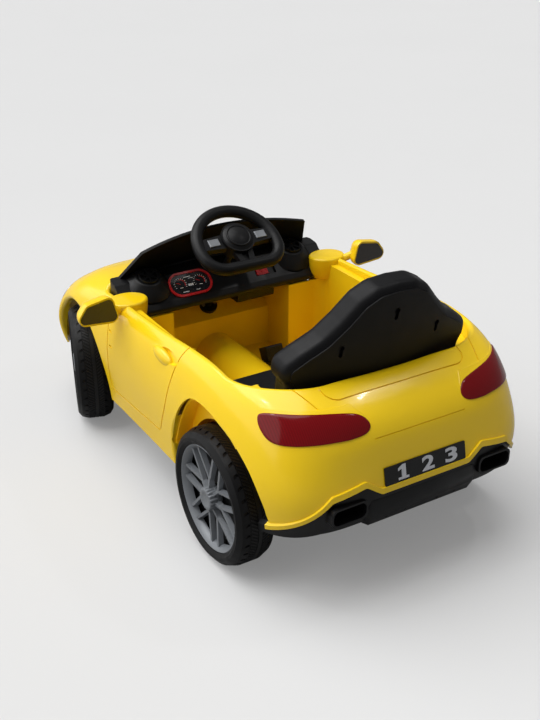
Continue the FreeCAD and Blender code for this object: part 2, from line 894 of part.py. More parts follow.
def cockpit_tub():
    bottom = sill_height
    under_dash = min(dash_outline_z) - seat_gap
    seat_box = block(tub_rear, tub_step + wall, -tub_seat_half, tub_seat_half, bottom, tub_rim)
    door_box = block(tub_step, tub_waist, -tub_door_half, tub_door_half, bottom, tub_rim)
    nose = side_prism(
        [
            (tub_waist - wall, bottom),
            (bulkhead_foot, bottom),
            (bulkhead_foot, shelf_z(bulkhead_foot) - wall),
            (shelf_front, shelf_z(shelf_front) - wall),
            (shelf_front, tub_rim - tub_rim_thickness),
            (tub_waist - wall, tub_rim - tub_rim_thickness),
        ],
        tub_nose_half,
    )
    rim = cockpit_prism(-seat_gap, tub_rim - tub_rim_thickness, tub_rim)
    seat_inside = tub_seat_half - wall
    door_inside = tub_door_half - wall
    seat_void = block(
        tub_rear + wall, tub_step + 2 * wall, -seat_inside, seat_inside, tub_seat_height, body_length
    )
    door_void = basin(tub_step + wall, tub_waist - wall, door_inside)
    nose_void = side_prism(
        [
            (tub_waist - 2 * wall, tub_floor),
            (bulkhead_foot - wall, tub_floor),
            (bulkhead_foot - wall, shelf_z(bulkhead_foot - wall)),
            (shelf_front - wall, shelf_z(shelf_front - wall)),
            (shelf_front - wall, body_length),
            (tub_waist - 2 * wall, body_length),
        ],
        tub_nose_half - wall,
    )
    under_seat = block(
        tub_rear + wall, tub_step - wall, -seat_inside, seat_inside, -overrun, tub_seat_height - wall
    )
    dash_room = block(
        min(dash_outline_x) - seat_gap,
        max(dash_outline_x) + seat_gap,
        -body_width,
        body_width,
        under_dash,
        body_length,
    )
    beyond_dash = block(max(dash_outline_x), body_length, -body_width, body_width, shelf_top, body_length)
    seat_line = tub_rear + seat_depth / 2
    behind_seat = block(-body_length, seat_line, -body_width, body_width, tub_rear_height, body_length)
    solid = seat_box.fuse([door_box, nose, rim])
    tub = solid.cut([seat_void, door_void, nose_void, under_seat, dash_room, beyond_dash, behind_seat])
    squash = FreeCAD.Matrix()
    squash.scale(1, 1, tunnel_height / tunnel_half)
    ridge = rod(Vector(tub_step, 0, 0), forward, bulkhead_foot - tub_step - wall, tunnel_half)
    ridge = ridge.transformGeometry(squash)
    ridge.translate(Vector(0, 0, tub_floor))
    under_floor = tub_floor - wall / 2
    ridge = ridge.cut(block(-body_length, body_length, -body_width, body_width, -body_width, under_floor))
    tub = tub.fuse(ridge)
    foot = Vector(*steer_centre) - column_axis * (bush_place + overrun)
    holes = [rod(foot, column_axis, 2 * overrun, bush_radius / 2 + seat_gap)]
    socket_foot = Vector(socket_x, socket_y, tub_rim - overrun)
    holes.append(rod(socket_foot, up, 2 * overrun, socket_body + seat_gap))
    holes.append(rod(Vector(rear_axle_x, -half_width, wheel_radius), left, body_width, axle_radius + wall))
    return tub.cut(holes).removeSplitter()


def chassis_tray():
    bottom = tray_top - tray_thickness
    outline = [
        Vector(tray_rear, tray_half, bottom),
        Vector(tray_rear, -tray_half, bottom),
        Vector(tray_wing_rear, -tray_half, bottom),
        Vector(tray_wing_rear, tray_side_gap - half_width, bottom),
        Vector(tray_wing_front, tray_side_gap - half_width, bottom),
        Vector(tray_wing_front, -tray_front_half, bottom),
        Vector(tray_front, -tray_front_half, bottom),
        Vector(tray_front, tray_front_half, bottom),
        Vector(tray_wing_front, tray_front_half, bottom),
        Vector(tray_wing_front, half_width - tray_side_gap, bottom),
        Vector(tray_wing_rear, half_width - tray_side_gap, bottom),
        Vector(tray_wing_rear, tray_half, bottom),
    ]
    tray = prism(outline, tray_round, Vector(0, 0, tray_thickness))
    posts = []
    for side in (-1, 1):
        foot = Vector(beam_post_x, side * beam_post_y, bottom)
        post = rod(foot, up, beam_top - beam_plate - bottom, beam_post_radius)
        posts.append(post)
        near = side * axle_post_y - axle_post_width / 2
        saddle = block(
            rear_axle_x - axle_post_length / 2,
            rear_axle_x + axle_post_length / 2,
            near,
            near + axle_post_width,
            bottom,
            wheel_radius + axle_post_length / 2,
        )
        posts.append(saddle)
    tray = tray.fuse(posts)
    bore = rod(Vector(rear_axle_x, -half_width, wheel_radius), left, body_width, axle_radius + running_gap)
    return tray.cut(bore).removeSplitter()


def in_wheel_frame(shape):
    """Moves a shape drawn flat, x to the right and y upwards, into the steering wheel's plane."""
    place = FreeCAD.Matrix()
    columns = (right, wheel_up, column_axis, Vector(*steer_centre))
    for i, column in enumerate(columns):
        place.setCol(i, column)
    moved = shape.copy()
    moved.Placement = FreeCAD.Placement(place)
    return moved


def bent_tube(centre, start, turn):
    """Round tube bent about a centre, from a start point through an angle in degrees."""
    along = up.cross(start - centre).normalize()
    ring = Part.Face(Part.Wire(Part.makeCircle(rim_tube, start, along)))
    return ring.revolve(centre, up, turn)


def wheel_rim():
    """Flat-bottomed rim: one straight run, two corner bends and one large bend."""
    hub = Vector(0, rim_top - rim_arc, 0)
    tubes = [rod(Vector(-rim_flat_half, rim_foot, 0), forward, 2 * rim_flat_half, rim_tube)]
    for side in (-1, 1):
        corner = Vector(side * rim_flat_half, rim_foot + rim_corner, 0)
        toward = (corner - hub).normalize()
        corner_turn = 90 + math.degrees(math.atan2(toward.y, abs(toward.x)))
        foot = Vector(side * rim_flat_half, rim_foot, 0)
        tubes.append(bent_tube(corner, foot, side * corner_turn))
        tubes.append(bent_tube(hub, Vector(0, rim_top, 0), -side * (180 - corner_turn)))
    return tubes[0].fuse(tubes[1:])


def button_span(side, grow):
    """Near and far end of a spoke button along the spoke."""
    reach = button_length / 2 + grow
    return sorted((side * (button_place - reach), side * (button_place + reach)))


def steering_wheel():
    rim = wheel_rim()
    hub = rod(Vector(0, 0, -hub_height / 2), up, hub_height, hub_radius)
    half = spoke_thickness / 2
    spokes = []
    for side in (-1, 1):
        corners = ((0, spoke_root_width / 2), (rim_arc, spoke_width / 2))
        corners += ((rim_arc, -spoke_width / 2), (0, -spoke_root_width / 2))
        spoke = prism([Vector(side * x, y, -half) for x, y in corners], 0, up * spoke_thickness)
        low, high = button_span(side, seat_gap)
        well_half = button_width / 2 + seat_gap
        floor = half - button_thickness + button_stand_out - button_travel - seat_gap
        spokes.append(spoke.cut(block(low, high, -well_half, well_half, floor, spoke_thickness)))
        root = Vector(side * strut_root_half, 0, -half / 2)
        tip = Vector(side * strut_tip_half, rim_foot, -half / 2)
        width = Vector(-side * strut_width, 0, 0)
        spokes.append(prism([root, tip, tip + width, root + width], 0, up * (half + half / 2)))
    web = [Vector(x, y, -half / 2) for x, y in ((strut_root_half, 0), (strut_tip_half, rim_foot))]
    web += [Vector(-x, y, -half / 2) for x, y in ((strut_tip_half, rim_foot), (strut_root_half, 0))]
    spokes.append(prism(web, 0, up * (spoke_thickness * strut_web_share)))
    wheel = rim.fuse([hub] + spokes)
    wheel = wheel.cut(rod(Vector(0, 0, hub_height / 2 - cap_seat), up, overrun, cap_radius + seat_gap))
    wheel = wheel.cut(rod(Vector(0, 0, -overrun), up, overrun, column_radius))
    return in_wheel_frame(wheel.removeSplitter())


def hub_cap():
    foot = hub_height / 2 - cap_seat
    seat = foot + cap_seat
    ball = (cap_radius ** 2 + cap_rise ** 2) / (2 * cap_rise)
    dome = Part.makeSphere(ball, Vector(0, 0, seat + cap_rise - ball))
    cap = rod(Vector(0, 0, foot), up, 2 * cap_seat + cap_rise, cap_radius).common(dome)
    return in_wheel_frame(cap)


def spoke_button(side):
    low, high = button_span(side, 0)
    foot = spoke_thickness / 2 - button_thickness + button_stand_out
    button = block(low, high, -button_width / 2, button_width / 2, foot, foot + button_thickness)
    edges = [e for e in button.Edges if e.BoundBox.ZMin > foot + button_thickness / 2]
    return in_wheel_frame(button.makeFillet(button_thickness / 4, edges))


def steering_column():
    rest = math.radians(rest_steer_angle * crank_lock_angle / steer_lock_angle)
    bar = rod(Vector(0, 0, -column_length), up, column_length, column_radius)
    root = Vector(0, 0, column_radius - column_length)
    way = Vector(-math.sin(rest), -math.cos(rest), 0)
    tip = root + way * crank_reach
    web = rod(root, way, crank_reach, crank_radius)
    knee = Part.makeSphere(crank_radius, tip)
    pin = rod(tip, -up, crank_length, crank_radius)
    return in_wheel_frame(bar.fuse([web, knee, pin]).removeSplitter())


def column_bush():
    sleeve = rod(Vector(0, 0, -bush_place), up, bush_thickness, bush_radius)
    under = Vector(0, 0, -bush_place - bush_thickness)
    sleeve = sleeve.fuse(rod(under, up, bush_thickness, bush_radius / 2))
    bore = rod(Vector(0, 0, -bush_place - overrun), up, 2 * overrun, column_radius + running_gap)
    return in_wheel_frame(sleeve.cut(bore))


def front_beam():
    top = block(beam_rear, beam_front, -beam_half, beam_half, beam_top - beam_plate, beam_top)
    low = block(beam_rear, beam_front, -beam_half, beam_half, beam_foot, beam_foot + beam_plate)
    web = block(beam_front - beam_plate, beam_front, -beam_half, beam_half, beam_foot, beam_top)
    under = beam_top - beam_plate
    tongue = block(beam_tongue_rear, beam_front, -beam_tongue_half, beam_tongue_half, under, beam_top)
    beam = top.fuse([low, web, tongue])
    holes = []
    for side in (-1, 1):
        foot = Vector(front_axle_x, side * kingpin_half, beam_foot - overrun)
        holes.append(rod(foot, up, beam_top + overrun, kingpin_radius + running_gap))
    return beam.cut(holes).removeSplitter()


def steered(shape, side):
    """Turns a shape drawn for straight running about its kingpin to the rest position."""
    turned = shape.copy()
    turned.rotate(Vector(front_axle_x, side * kingpin_half, 0), up, -rest_steer_angle)
    return turned


def knuckle(side):
    pivot = Vector(front_axle_x, side * kingpin_half, 0)
    out = left * side
    pin = rod(pivot + up * kingpin_foot, up, kingpin_top - kingpin_foot, kingpin_radius)
    sleeve_foot = beam_foot + beam_plate + pivot_gap
    sleeve_top = beam_top - beam_plate - pivot_gap
    sleeve = rod(pivot + up * sleeve_foot, up, sleeve_top - sleeve_foot, knuckle_sleeve_radius)
    stub = rod(pivot + up * wheel_radius, out, stub_end, stub_radius)
    arm = block(-arm_reach, 0, -arm_width / 2, arm_width / 2, arm_foot, arm_foot + arm_thickness)
    ends = [rod(Vector(0, 0, arm_foot), up, arm_thickness, arm_width / 2)]
    ends.append(rod(Vector(-arm_reach, 0, arm_foot), up, arm_thickness, arm_width / 2))
    ends.append(rod(Vector(-arm_reach, 0, arm_foot), up, arm_pin_height, arm_pin_radius))
    arm = arm.fuse(ends)
    arm.translate(pivot)
    whole = pin.fuse([sleeve, stub, arm]).removeSplitter()
    return steered(whole, side)


def tie_rod():
    """Flat bar between the two arms, with slots that clear the arms' and the crank's swing."""
    rest_y = arm_reach * math.sin(math.radians(rest_steer_angle))
    bar_x = front_axle_x - arm_reach * (1 + math.cos(math.radians(steer_lock_angle))) / 2
    top = tie_rod_foot + tie_rod_thickness
    reach = kingpin_half + tie_rod_width / 2
    half = tie_rod_width / 2
    bar = block(bar_x - half, bar_x + half, rest_y - reach, rest_y + reach, tie_rod_foot, top)
    crank = Vector(*steer_centre) - column_axis * (column_length - column_radius) - wheel_up * crank_reach
    slot_x = crank.x + crank_slot_lead
    lobe_rear = slot_x - crank_slot_half - crank_slot_wall
    lobe_half = crank_radius + 2 * crank_slot_wall
    bar = bar.fuse(block(lobe_rear, bar_x, rest_y - lobe_half, rest_y + lobe_half, tie_rod_foot, top))
    slots = []
    for side in (-1, 1):
        y = rest_y + side * kingpin_half
        gap = arm_pin_radius + pivot_gap
        slots.append(block(bar_x - tie_slot_half, bar_x + tie_slot_half, y - gap, y + gap, 0, body_length))
    gap = crank_radius + 2 * pivot_gap
    slot_rear = slot_x - crank_slot_half
    slot_front = slot_x + crank_slot_half
    slots.append(block(slot_rear, slot_front, rest_y - gap, rest_y + gap, 0, body_length))
    return bar.cut(slots).removeSplitter()


def wheel_tyre():
    """Black moulded wheel with its tread, round the Y axis, outer face to +Y."""
    half = tyre_width / 2
    tread = wheel_radius
    web_out = half - rim_recess - hubcap_thickness
    web_in = -half + rim_back_recess
    points = [
        (stub_radius + running_gap, web_in - washer_thickness),
        (wheel_hub_radius, web_in - washer_thickness),
        (wheel_hub_radius, web_in),
        (rim_radius - tyre_shoulder / 2, web_in),
        (rim_radius, -half + tyre_shoulder / 3),
        (rim_radius + tyre_shoulder / 2, -half),
        (tread - tyre_shoulder, -half),
        (tread - tyre_shoulder / 3, -half + tyre_shoulder / 2),
        (tread, -half + tyre_shoulder * tread_edge_share),
        (tread, half - tyre_shoulder * tread_edge_share),
        (tread - tyre_shoulder / 3, half - tyre_shoulder / 2),
        (tread - tyre_shoulder, half),
        (rim_radius + tyre_shoulder / 2, half),
        (rim_radius, half - tyre_shoulder / 3),
        (rim_radius, web_out),
        (nut_radius + nut_recess / 2, web_out),
        (nut_radius + nut_recess / 2, web_out - nut_recess / 2),
        (stub_radius + running_gap, web_out - nut_recess / 2),
    ]
    wire = Part.makePolygon([Vector(r, y, 0) for r, y in points + [points[0]]])
    tyre = Part.Face(wire).revolve(origin, left, 360)
    lugs = []
    for side in (-1, 1):
        lug = block(
            -lug_width / 2,
            lug_width / 2,
            -lug_length / 2,
            lug_length / 2,
            tread - lug_depth,
            tread + overrun,
        )
        lug.rotate(Vector(0, 0, tread), up, side * lug_skew_angle)
        lug.translate(Vector(0, side * (half - lug_length / 2 + tyre_shoulder / 3), 0))
        for i in range(lug_count):
            copy = lug.copy()
            copy.rotate(origin, left, (2 * i + max(side, 0)) * 180 / lug_count)
            lugs.append(copy)
    return tyre.cut(lugs)


def roof_bar(start, end, foot, ridge):
    """Bar from one point of the wheel's plane to another, narrowing from its foot to a ridge along +Y."""
    across = left.cross(end - start).normalize()
    section = (start + across * (foot / 2), start - across * (foot / 2))
    top = left * tyre_width
    crest = across * (ridge / 2)
    corners = [section[0], section[1], start - crest + top, start + crest + top]
    return prism(corners, 0, end - start)


def hubcap():
    """Grey cap with split spokes in the wheel's outer recess, round the Y axis."""
    half = tyre_width / 2
    seat = half - rim_recess - hubcap_thickness + running_gap
    rim = rim_radius - seat_gap
    lip = half - hubcap_lip_depth
    crest = seat + hub_spoke_depth
    profile = [
        (hubcap_centre_radius, seat),
        (rim, seat),
        (rim, lip),
        (rim - hubcap_lip, lip),
        (rim - hubcap_barrel, crest),
        ((rim + hubcap_centre_radius) / 2, crest - hub_spoke_dip),
        (hubcap_centre_radius, crest),
    ]
    band = Part.Face(Part.makePolygon([Vector(r, y, 0) for r, y in profile + [profile[0]]]))
    envelope = band.revolve(origin, left, 360)
    disc = rod(origin, left, tyre_width, rim)
    ring = disc.cut(Part.makeCone(rim - 2 * hubcap_barrel, rim - hubcap_lip, lip - seat, left * seat, left))
    ring = ring.cut(block(-rim, rim, 0, seat, -rim, rim)).cut(block(-rim, rim, lip, tyre_width, -rim, rim))
    split = rim * hub_spoke_split_share
    bars = []
    for i in range(spoke_count):
        turn = math.radians(hub_spoke_rest_angle + 360 * i / spoke_count)
        knee = Vector(math.cos(turn), 0, math.sin(turn)) * split
        bars.append(roof_bar(origin + left * seat, knee + left * seat, hub_spoke_foot, hub_spoke_ridge))
        for way in (-1, 1):
            end_turn = turn + way * math.radians(hub_spoke_reach_angle)
            end = Vector(math.cos(end_turn), 0, math.sin(end_turn)) * rim
            bars.append(roof_bar(knee + left * seat, end + left * seat, hub_spoke_foot, hub_spoke_ridge))
    spokes = bars[0].fuse(bars[1:]).common(envelope)
    hub = rod(left * seat, left, half - hubcap_centre_depth - seat, hubcap_centre_radius)
    notches = []
    for i in range(hubcap_notch_count):
        turn = 2 * math.pi * i / hubcap_notch_count
        place = Vector(math.cos(turn), 0, math.sin(turn)) * (hubcap_centre_radius + hubcap_notch_depth)
        notches.append(rod(place + left * crest, left, tyre_width, 2 * hubcap_notch_depth))
    cap = ring.fuse([spokes, hub.cut(notches)]).removeSplitter()
    pocket = rod(Vector(0, seat - overrun, 0), left, overrun + nut_height, nut_radius + nut_recess / 2)
    return cap.cut(pocket)


def on_wheel(shape, front, side):
    """Puts a shape drawn round the Y axis on one of the four wheels."""
    placed = shape.copy()
    if side < 0:
        placed.rotate(origin, up, 180)
    x = front_axle_x if front else rear_axle_x
    placed.translate(Vector(x, side * wheel_mid_y, wheel_radius))
    return steered(placed, side) if front else placed


def axle_nut():
    """Lock nut on the end of an axle, outside the wheel's web."""
    seat = tyre_width / 2 - rim_recess - hubcap_thickness - nut_recess / 2
    start = Vector(0, seat + washer_thickness + seat_gap, 0)
    corners = [
        start + Vector(math.cos(math.radians(60 * i)), 0, math.sin(math.radians(60 * i))) * nut_radius
        for i in range(6)
    ]
    nut = prism(corners, 0, Vector(0, nut_height, 0))
    return nut.cut(rod(Vector(0, -tyre_width, 0), left, 2 * tyre_width, stub_radius))


def axle_washer():
    seat = tyre_width / 2 - rim_recess - hubcap_thickness - nut_recess / 2 + seat_gap
    washer = rod(Vector(0, seat, 0), left, washer_thickness, washer_radius)
    return washer.cut(rod(Vector(0, -tyre_width, 0), left, 2 * tyre_width, stub_radius))


def rear_axle():
    length = 2 * axle_half
    return rod(Vector(rear_axle_x, -axle_half, wheel_radius), left, length, axle_radius)


def gearbox_case():
    """Closed reduction gearbox on the right end of the rear axle."""
    outer = -axle_post_y + axle_post_width / 2
    points = [
        Vector(rear_axle_x - gearbox_height / 2, outer, tray_top),
        Vector(rear_axle_x + gearbox_length - gearbox_height / 2, outer, tray_top),
        Vector(rear_axle_x + gearbox_length - gearbox_height / 2, outer, tray_top + gearbox_height),
        Vector(rear_axle_x - gearbox_height / 2, outer, tray_top + gearbox_height),
    ]
    case = prism(points, gearbox_round, Vector(0, gearbox_width, 0))
    bore = rod(Vector(rear_axle_x, -half_width, wheel_radius), left, body_width, axle_radius + running_gap)
    return case.cut(bore)


def drive_motor():
    start = -axle_post_y + axle_post_width / 2 + gearbox_width
    centre = Vector(rear_axle_x + motor_offset - gearbox_round / 2, start, tray_top + gearbox_height / 2)
    can = rod(centre, left, motor_length, motor_radius)
    boss = rod(centre + left * motor_length, left, motor_radius / 4, motor_radius / 2)
    return can.fuse(boss).removeSplitter()


def battery():
    x = battery_x - battery_length / 2
    y = -battery_width / 2
    cell = block(x, x + battery_length, y, y + battery_width, tray_top, tray_top + battery_height)
    return cell.makeFillet(wall, [e for e in cell.Edges if e.BoundBox.ZLength > battery_height / 2])


def battery_clamp():
    half = battery_width / 2 + seat_gap
    top = tray_top + battery_height + seat_gap
    x = battery_x - clamp_width / 2
    side = half + clamp_thickness
    foot = half + clamp_width
    outer = block(x, x + clamp_width, -side, side, tray_top, top + clamp_thickness)
    feet = block(x, x + clamp_width, -foot, foot, tray_top, tray_top + clamp_thickness)
    return outer.fuse(feet).cut(block(x - overrun, x + overrun, -half, half, 0, top)).removeSplitter()


def control_module():
    x = battery_x - module_length / 2
    y = module_y - module_width / 2
    case = block(x, x + module_length, y, y + module_width, tray_top, tray_top + module_height)
    upper = [e for e in case.Edges if e.BoundBox.ZMin > tray_top + module_height / 2]
    return case.makeChamfer(wall / 2, upper)


def speaker():
    centre = Vector(shelf_front + seat_gap, -tub_nose_half / 2, speaker_z)
    frame = rod(centre, forward, speaker_depth / 4, speaker_radius)
    magnet = rod(centre, forward, speaker_depth, speaker_radius / 2)
    return frame.fuse(magnet).removeSplitter()


def charging_socket():
    """Round charger socket in the ledge beside the seat, its mouth upwards."""
    start = Vector(socket_x, socket_y, tub_rim)
    flange = rod(start, up, socket_flange, socket_radius)
    barrel = rod(start, -up, socket_depth - socket_flange, socket_body)
    mouth = start + up * (socket_flange + overrun)
    bore = rod(mouth, -up, overrun + socket_depth - socket_flange, socket_bore)
    return flange.fuse(barrel).cut(bore).removeSplitter()


def pedal_frame(shape):
    """Moves a pedal drawn flat along +X from its hinge to its place in the footwell."""
    moved = shape.copy()
    moved.rotate(origin, right, pedal_angle)
    moved.translate(Vector(pedal_x, pedal_y, tub_floor + pedal_pin_rise))
    return moved


def accelerator_pedal():
    half = pedal_width / 2
    deep = pedal_thickness / 2
    heel = pedal_pin_radius + pivot_gap
    plate = block(heel, pedal_length, -half, half, -deep, deep)
    edges = [e for e in plate.Edges if e.BoundBox.ZMin > 0 and e.BoundBox.XMin > heel]
    plate = plate.makeFillet(deep / 4, edges)
    inset = pedal_width / 6
    pad = block(heel + inset, pedal_length - inset, inset - half, half - inset, 0, deep + pivot_gap)
    eye = rod(Vector(0, -half, 0), left, pedal_width, 2 * pedal_pin_radius)
    neck = block(0, pedal_length / 2, -half, half, -pedal_pin_radius, pedal_pin_radius)
    lever = plate.fuse([pad, eye, neck])
    eye = rod(Vector(0, -pedal_width, 0), left, 2 * pedal_width, pedal_pin_radius + running_gap)
    lever = lever.cut(eye)
    return pedal_frame(lever.removeSplitter())


def pedal_hinge():
    half = pedal_width / 2 + pivot_gap
    reach = half + pedal_ear
    end = Vector(pedal_x, pedal_y - reach, tub_floor + pedal_pin_rise)
    pins = [rod(end, left, 2 * reach, pedal_pin_radius)]
    for side in (-1, 1):
        low, high = sorted((pedal_y + side * half, pedal_y + side * reach))
        ear_top = tub_floor + pedal_ear_height
        ear = block(pedal_x - pedal_ear, pedal_x + pedal_ear, low, high, tub_floor, ear_top)
        pins.append(ear)
    return pins[0].fuse(pins[1:]).removeSplitter()


def dash_section(half):
    points = [Vector(x, -half, z) for x, z in zip(dash_outline_x, dash_outline_z)]
    return prism(points, dash_round, Vector(0, 2 * half, 0))


def on_panel(shape, y, share):
    """Moves a shape drawn flat, x to the right and y up the slope, onto the sloping dash panel."""
    low = Vector(dash_outline_x[2], 0, dash_outline_z[2])
    high = Vector(dash_outline_x[3], 0, dash_outline_z[3])
    slope = (high - low).normalize()
    place = FreeCAD.Matrix()
    spot = low + slope * ((Vector(dash_outline_x[3], 0, dash_outline_z[3]) - low).Length * share)
    for i, column in enumerate((right, slope, right.cross(slope), Vector(spot.x, y, spot.z))):
        place.setCol(i, column)
    moved = shape.copy()
    moved.Placement = FreeCAD.Placement(place)
    return moved


def oval(length, height, low, high):
    half = height / 2
    side = length / 2
    points = [Vector(x, y, low) for x, y in ((side, -half), (side, half), (-side, half), (-side, -half))]
    return prism(points, half, Vector(0, 0, high - low))


def cowl():
    foot_left = Vector(*cowl_foot)
    top_left = Vector(*cowl_top)
    foot_right = Vector(foot_left.x, -foot_left.y, foot_left.z)
    top_right = Vector(top_left.x, -top_left.y, top_left.z)
    foot = Part.Arc(foot_left, Vector(*cowl_foot_middle), foot_right).toShape()
    top = Part.Arc(top_left, Vector(*cowl_top_middle), top_right).toShape()
    screen = Part.makeRuledSurface(foot, top)
    return screen.extrude(Vector(cowl_thickness, 0, cowl_thickness / 2))


def dashboard():
    inside = cockpit_prism(-2 * seat_gap, tub_floor, body_length)
    body = dash_section(cockpit_half_width).common(inside)
    body = body.fuse(cowl())
    dial = oval(bezel_length + 2 * seat_gap, bezel_height + 2 * seat_gap, -bezel_ring, overrun)
    recess = block(
        -switch_recess_length / 2,
        switch_recess_length / 2,
        -switch_recess_width / 2,
        switch_recess_width / 2,
        -switch_recess_depth,
        overrun,
    )
    well = block(
        -switch_length / 2 - switch_end_gap,
        switch_length / 2 + switch_end_gap,
        -switch_width / 2 - seat_gap,
        switch_width / 2 + seat_gap,
        -switch_recess_depth - switch_depth,
        overrun,
    )
    bearing = switch_pin(switch_pin_radius + running_gap, switch_pin_reach + seat_gap)
    rooms = [on_panel(dial, bezel_y, bezel_share)]
    for room in (recess, well, bearing):
        rooms.append(on_panel(room, switch_y, switch_share))
    foot = Vector(*steer_centre) - column_axis * (2 * bush_place)
    rooms.append(rod(foot, column_axis, 2 * bush_place, column_radius + 2 * wall))
    rooms += [vent_cone(side, seat_gap) for side in (-1, 1)]
    return body.cut(rooms).removeSplitter()


def instrument_bezel():
    ring = oval(bezel_length, bezel_height, -bezel_ring + running_gap, bezel_rise)
    inner = oval(bezel_length - 2 * bezel_ring, bezel_height - 2 * bezel_ring, -overrun, overrun)
    return on_panel(ring.cut(inner), bezel_y, bezel_share)


def instrument_panel():
    fit = bezel_ring + seat_gap
    card = oval(bezel_length - 2 * fit, bezel_height - 2 * fit, -bezel_ring + running_gap, panel_rise)
    return on_panel(card, bezel_y, bezel_share)


def switch_pin(radius, reach):
    """Pin that the rocker turns on, across its middle."""
    start = Vector(0, -switch_width / 2 - reach, -switch_recess_depth - switch_crown)
    return rod(start, left, switch_width + 2 * reach, radius)


def power_switch():
    half = switch_length / 2
    crest = switch_crown - switch_recess_depth
    foot = -switch_recess_depth - 2 * switch_crown
    outline = ((-half, foot), (half, foot), (half, crest), (0, -switch_recess_depth), (-half, crest))
    points = [Vector(x, -switch_width / 2, z) for x, z in outline]
    rocker = prism(points, 0, Vector(0, switch_width, 0))
    rocker = rocker.fuse(switch_pin(switch_pin_radius, switch_pin_reach))
    return on_panel(rocker, switch_y, switch_share)


def vent_cone(side, grow):
    """Outer form of a round jet vent, leaning towards the driver."""
    lean_back = math.radians(vent_lean_angle)
    axis = Vector(-math.sin(lean_back), 0, math.cos(lean_back))
    foot = Vector(dash_outline_x[3], side * vent_y, vent_foot)
    return Part.makeCone(vent_radius + grow, vent_top_radius + grow, vent_height, foot, axis)


def dash_vent(side):
    lean_back = math.radians(vent_lean_angle)
    axis = Vector(-math.sin(lean_back), 0, math.cos(lean_back))
    foot = Vector(dash_outline_x[3], side * vent_y, vent_foot)
    throat = vent_top_radius - vent_fin_width / 2
    vent = vent_cone(side, 0).cut(rod(foot + axis * (vent_height - vent_recess), axis, overrun, throat))
    fins = []
    for i in range(vent_fins // 2):
        reach = throat + vent_fin_width / 4
        half = vent_fin_width / 2
        fin = block(-reach, reach, -half, half, vent_height - vent_recess, vent_height - vent_recess / 4)
        fin.rotate(origin, up, 180 * i / (vent_fins // 2))
        fin.rotate(origin, right, vent_lean_angle)
        fin.translate(foot)
        fins.append(fin)
    return vent.fuse(fins).removeSplitter()


def switch_box():
    """Small black housing under the right half of the dash, its top following the dash's underside."""
    low_x, knee_x, high_x = (dash_outline_x[i] for i in (0, 6, 5))
    low_z, knee_z, high_z = (dash_outline_z[i] - seat_gap for i in (0, 6, 5))
    rear_top = low_z + (knee_z - low_z) * (box_rear - low_x) / (knee_x - low_x)
    front_top = knee_z + (high_z - knee_z) * (box_front - knee_x) / (high_x - knee_x)
    outline = (
        (box_rear, rear_top),
        (box_rear, box_foot + wall),
        (box_rear + wall, box_foot),
        (box_front - wall, box_foot),
        (box_front, front_top),
        (knee_x, knee_z),
    )
    points = [Vector(x, box_inner, z) for x, z in outline]
    return prism(points, 0, Vector(0, box_outer - box_inner, 0))


def lean(shape):
    leaned = shape.copy()
    leaned.rotate(Vector(seat_back_foot_x, 0, seat_back_foot_z), right, seat_lean_angle)
    return leaned


def seat_outline(shrink):
    """Closed bell-shaped outline of the seat back, as y and z pairs."""
    half = [(y, z) for y, z in zip(seat_outline_y, seat_outline_z)]
    low = [(seat_foot_half, seat_outline_z[-1] - seat_panel_inset), (seat_foot_half, seat_back_foot_z)]
    side = half[1:] + low
    ring = [half[0]] + side + [(-y, z) for y, z in reversed(side)]
    wire = rounded([Vector(0, y, z) for y, z in ring], 3 * seat_panel_inset)
    return wire.makeOffset2D(-shrink) if shrink else wire


def seat_slab(shrink, rear, thickness):
    """Part of the seat back between two depths of its curved rear face."""
    deep = seat_wrap_radius / 2
    slab = Part.Face(seat_outline(shrink)).extrude(Vector(deep, 0, 0))
    slab.translate(Vector(seat_back_foot_x - deep / 2, 0, 0))
    axis_foot = Vector(seat_back_foot_x + seat_wrap_radius, 0, 0)
    bend = rod(axis_foot, up, body_length, seat_wrap_radius - rear)
    return slab.common(bend.cut(rod(axis_foot, up, body_length, seat_wrap_radius - rear - thickness)))


def seat_rim_edge(edge):
    """True for the edges round the seat back's front and rear faces, above the cushion."""
    box = edge.BoundBox
    across = edge.tangentAt((edge.FirstParameter + edge.LastParameter) / 2)
    return 2 * abs(across.x) < 1 and box.ZMin > cushion_top


def seat_shell():
    back = seat_slab(0, 0, seat_depth)
    back = back.makeFillet(seat_back_round, [e for e in back.Edges if seat_rim_edge(e)])
    back = back.cut(seat_slab(seat_dish_border, seat_depth - seat_dish, seat_dish + overrun))
    room = overrun + seat_panel_thickness - seat_panel_proud
    back = back.cut(seat_slab(seat_panel_inset - seat_gap, -overrun, room))
    back = lean(back)
    rear = seat_back_foot_x + seat_depth / 2
    low = tub_seat_height + seat_gap
    cushion = block(rear, cushion_front, -cushion_half, cushion_half, low, cushion_top)
    ahead = cushion_front - seat_gap
    front = [e for e in cushion.Edges if e.BoundBox.XMax > ahead and e.BoundBox.ZMin > low]
    cushion = cushion.makeFillet(cushion_round, front)
    return back.fuse(cushion).removeSplitter()


def keyhole(y, z):
    head = rod(Vector(-body_length, y, z), forward, body_length, keyhole_radius)
    slot = block(-body_length, 0, y - keyhole_slot, y + keyhole_slot, z - keyhole_drop, z)
    tip = rod(Vector(-body_length, y, z - keyhole_drop), forward, body_length, keyhole_slot)
    return head.fuse([slot, tip])


def seat_back_panel():
    panel = seat_slab(seat_panel_inset, -seat_panel_proud, seat_panel_thickness)
    holes = [keyhole(y, keyhole_z) for y in (-keyhole_y, keyhole_y)] + [keyhole(0, keyhole_middle_z)]
    return lean(panel.cut(holes))


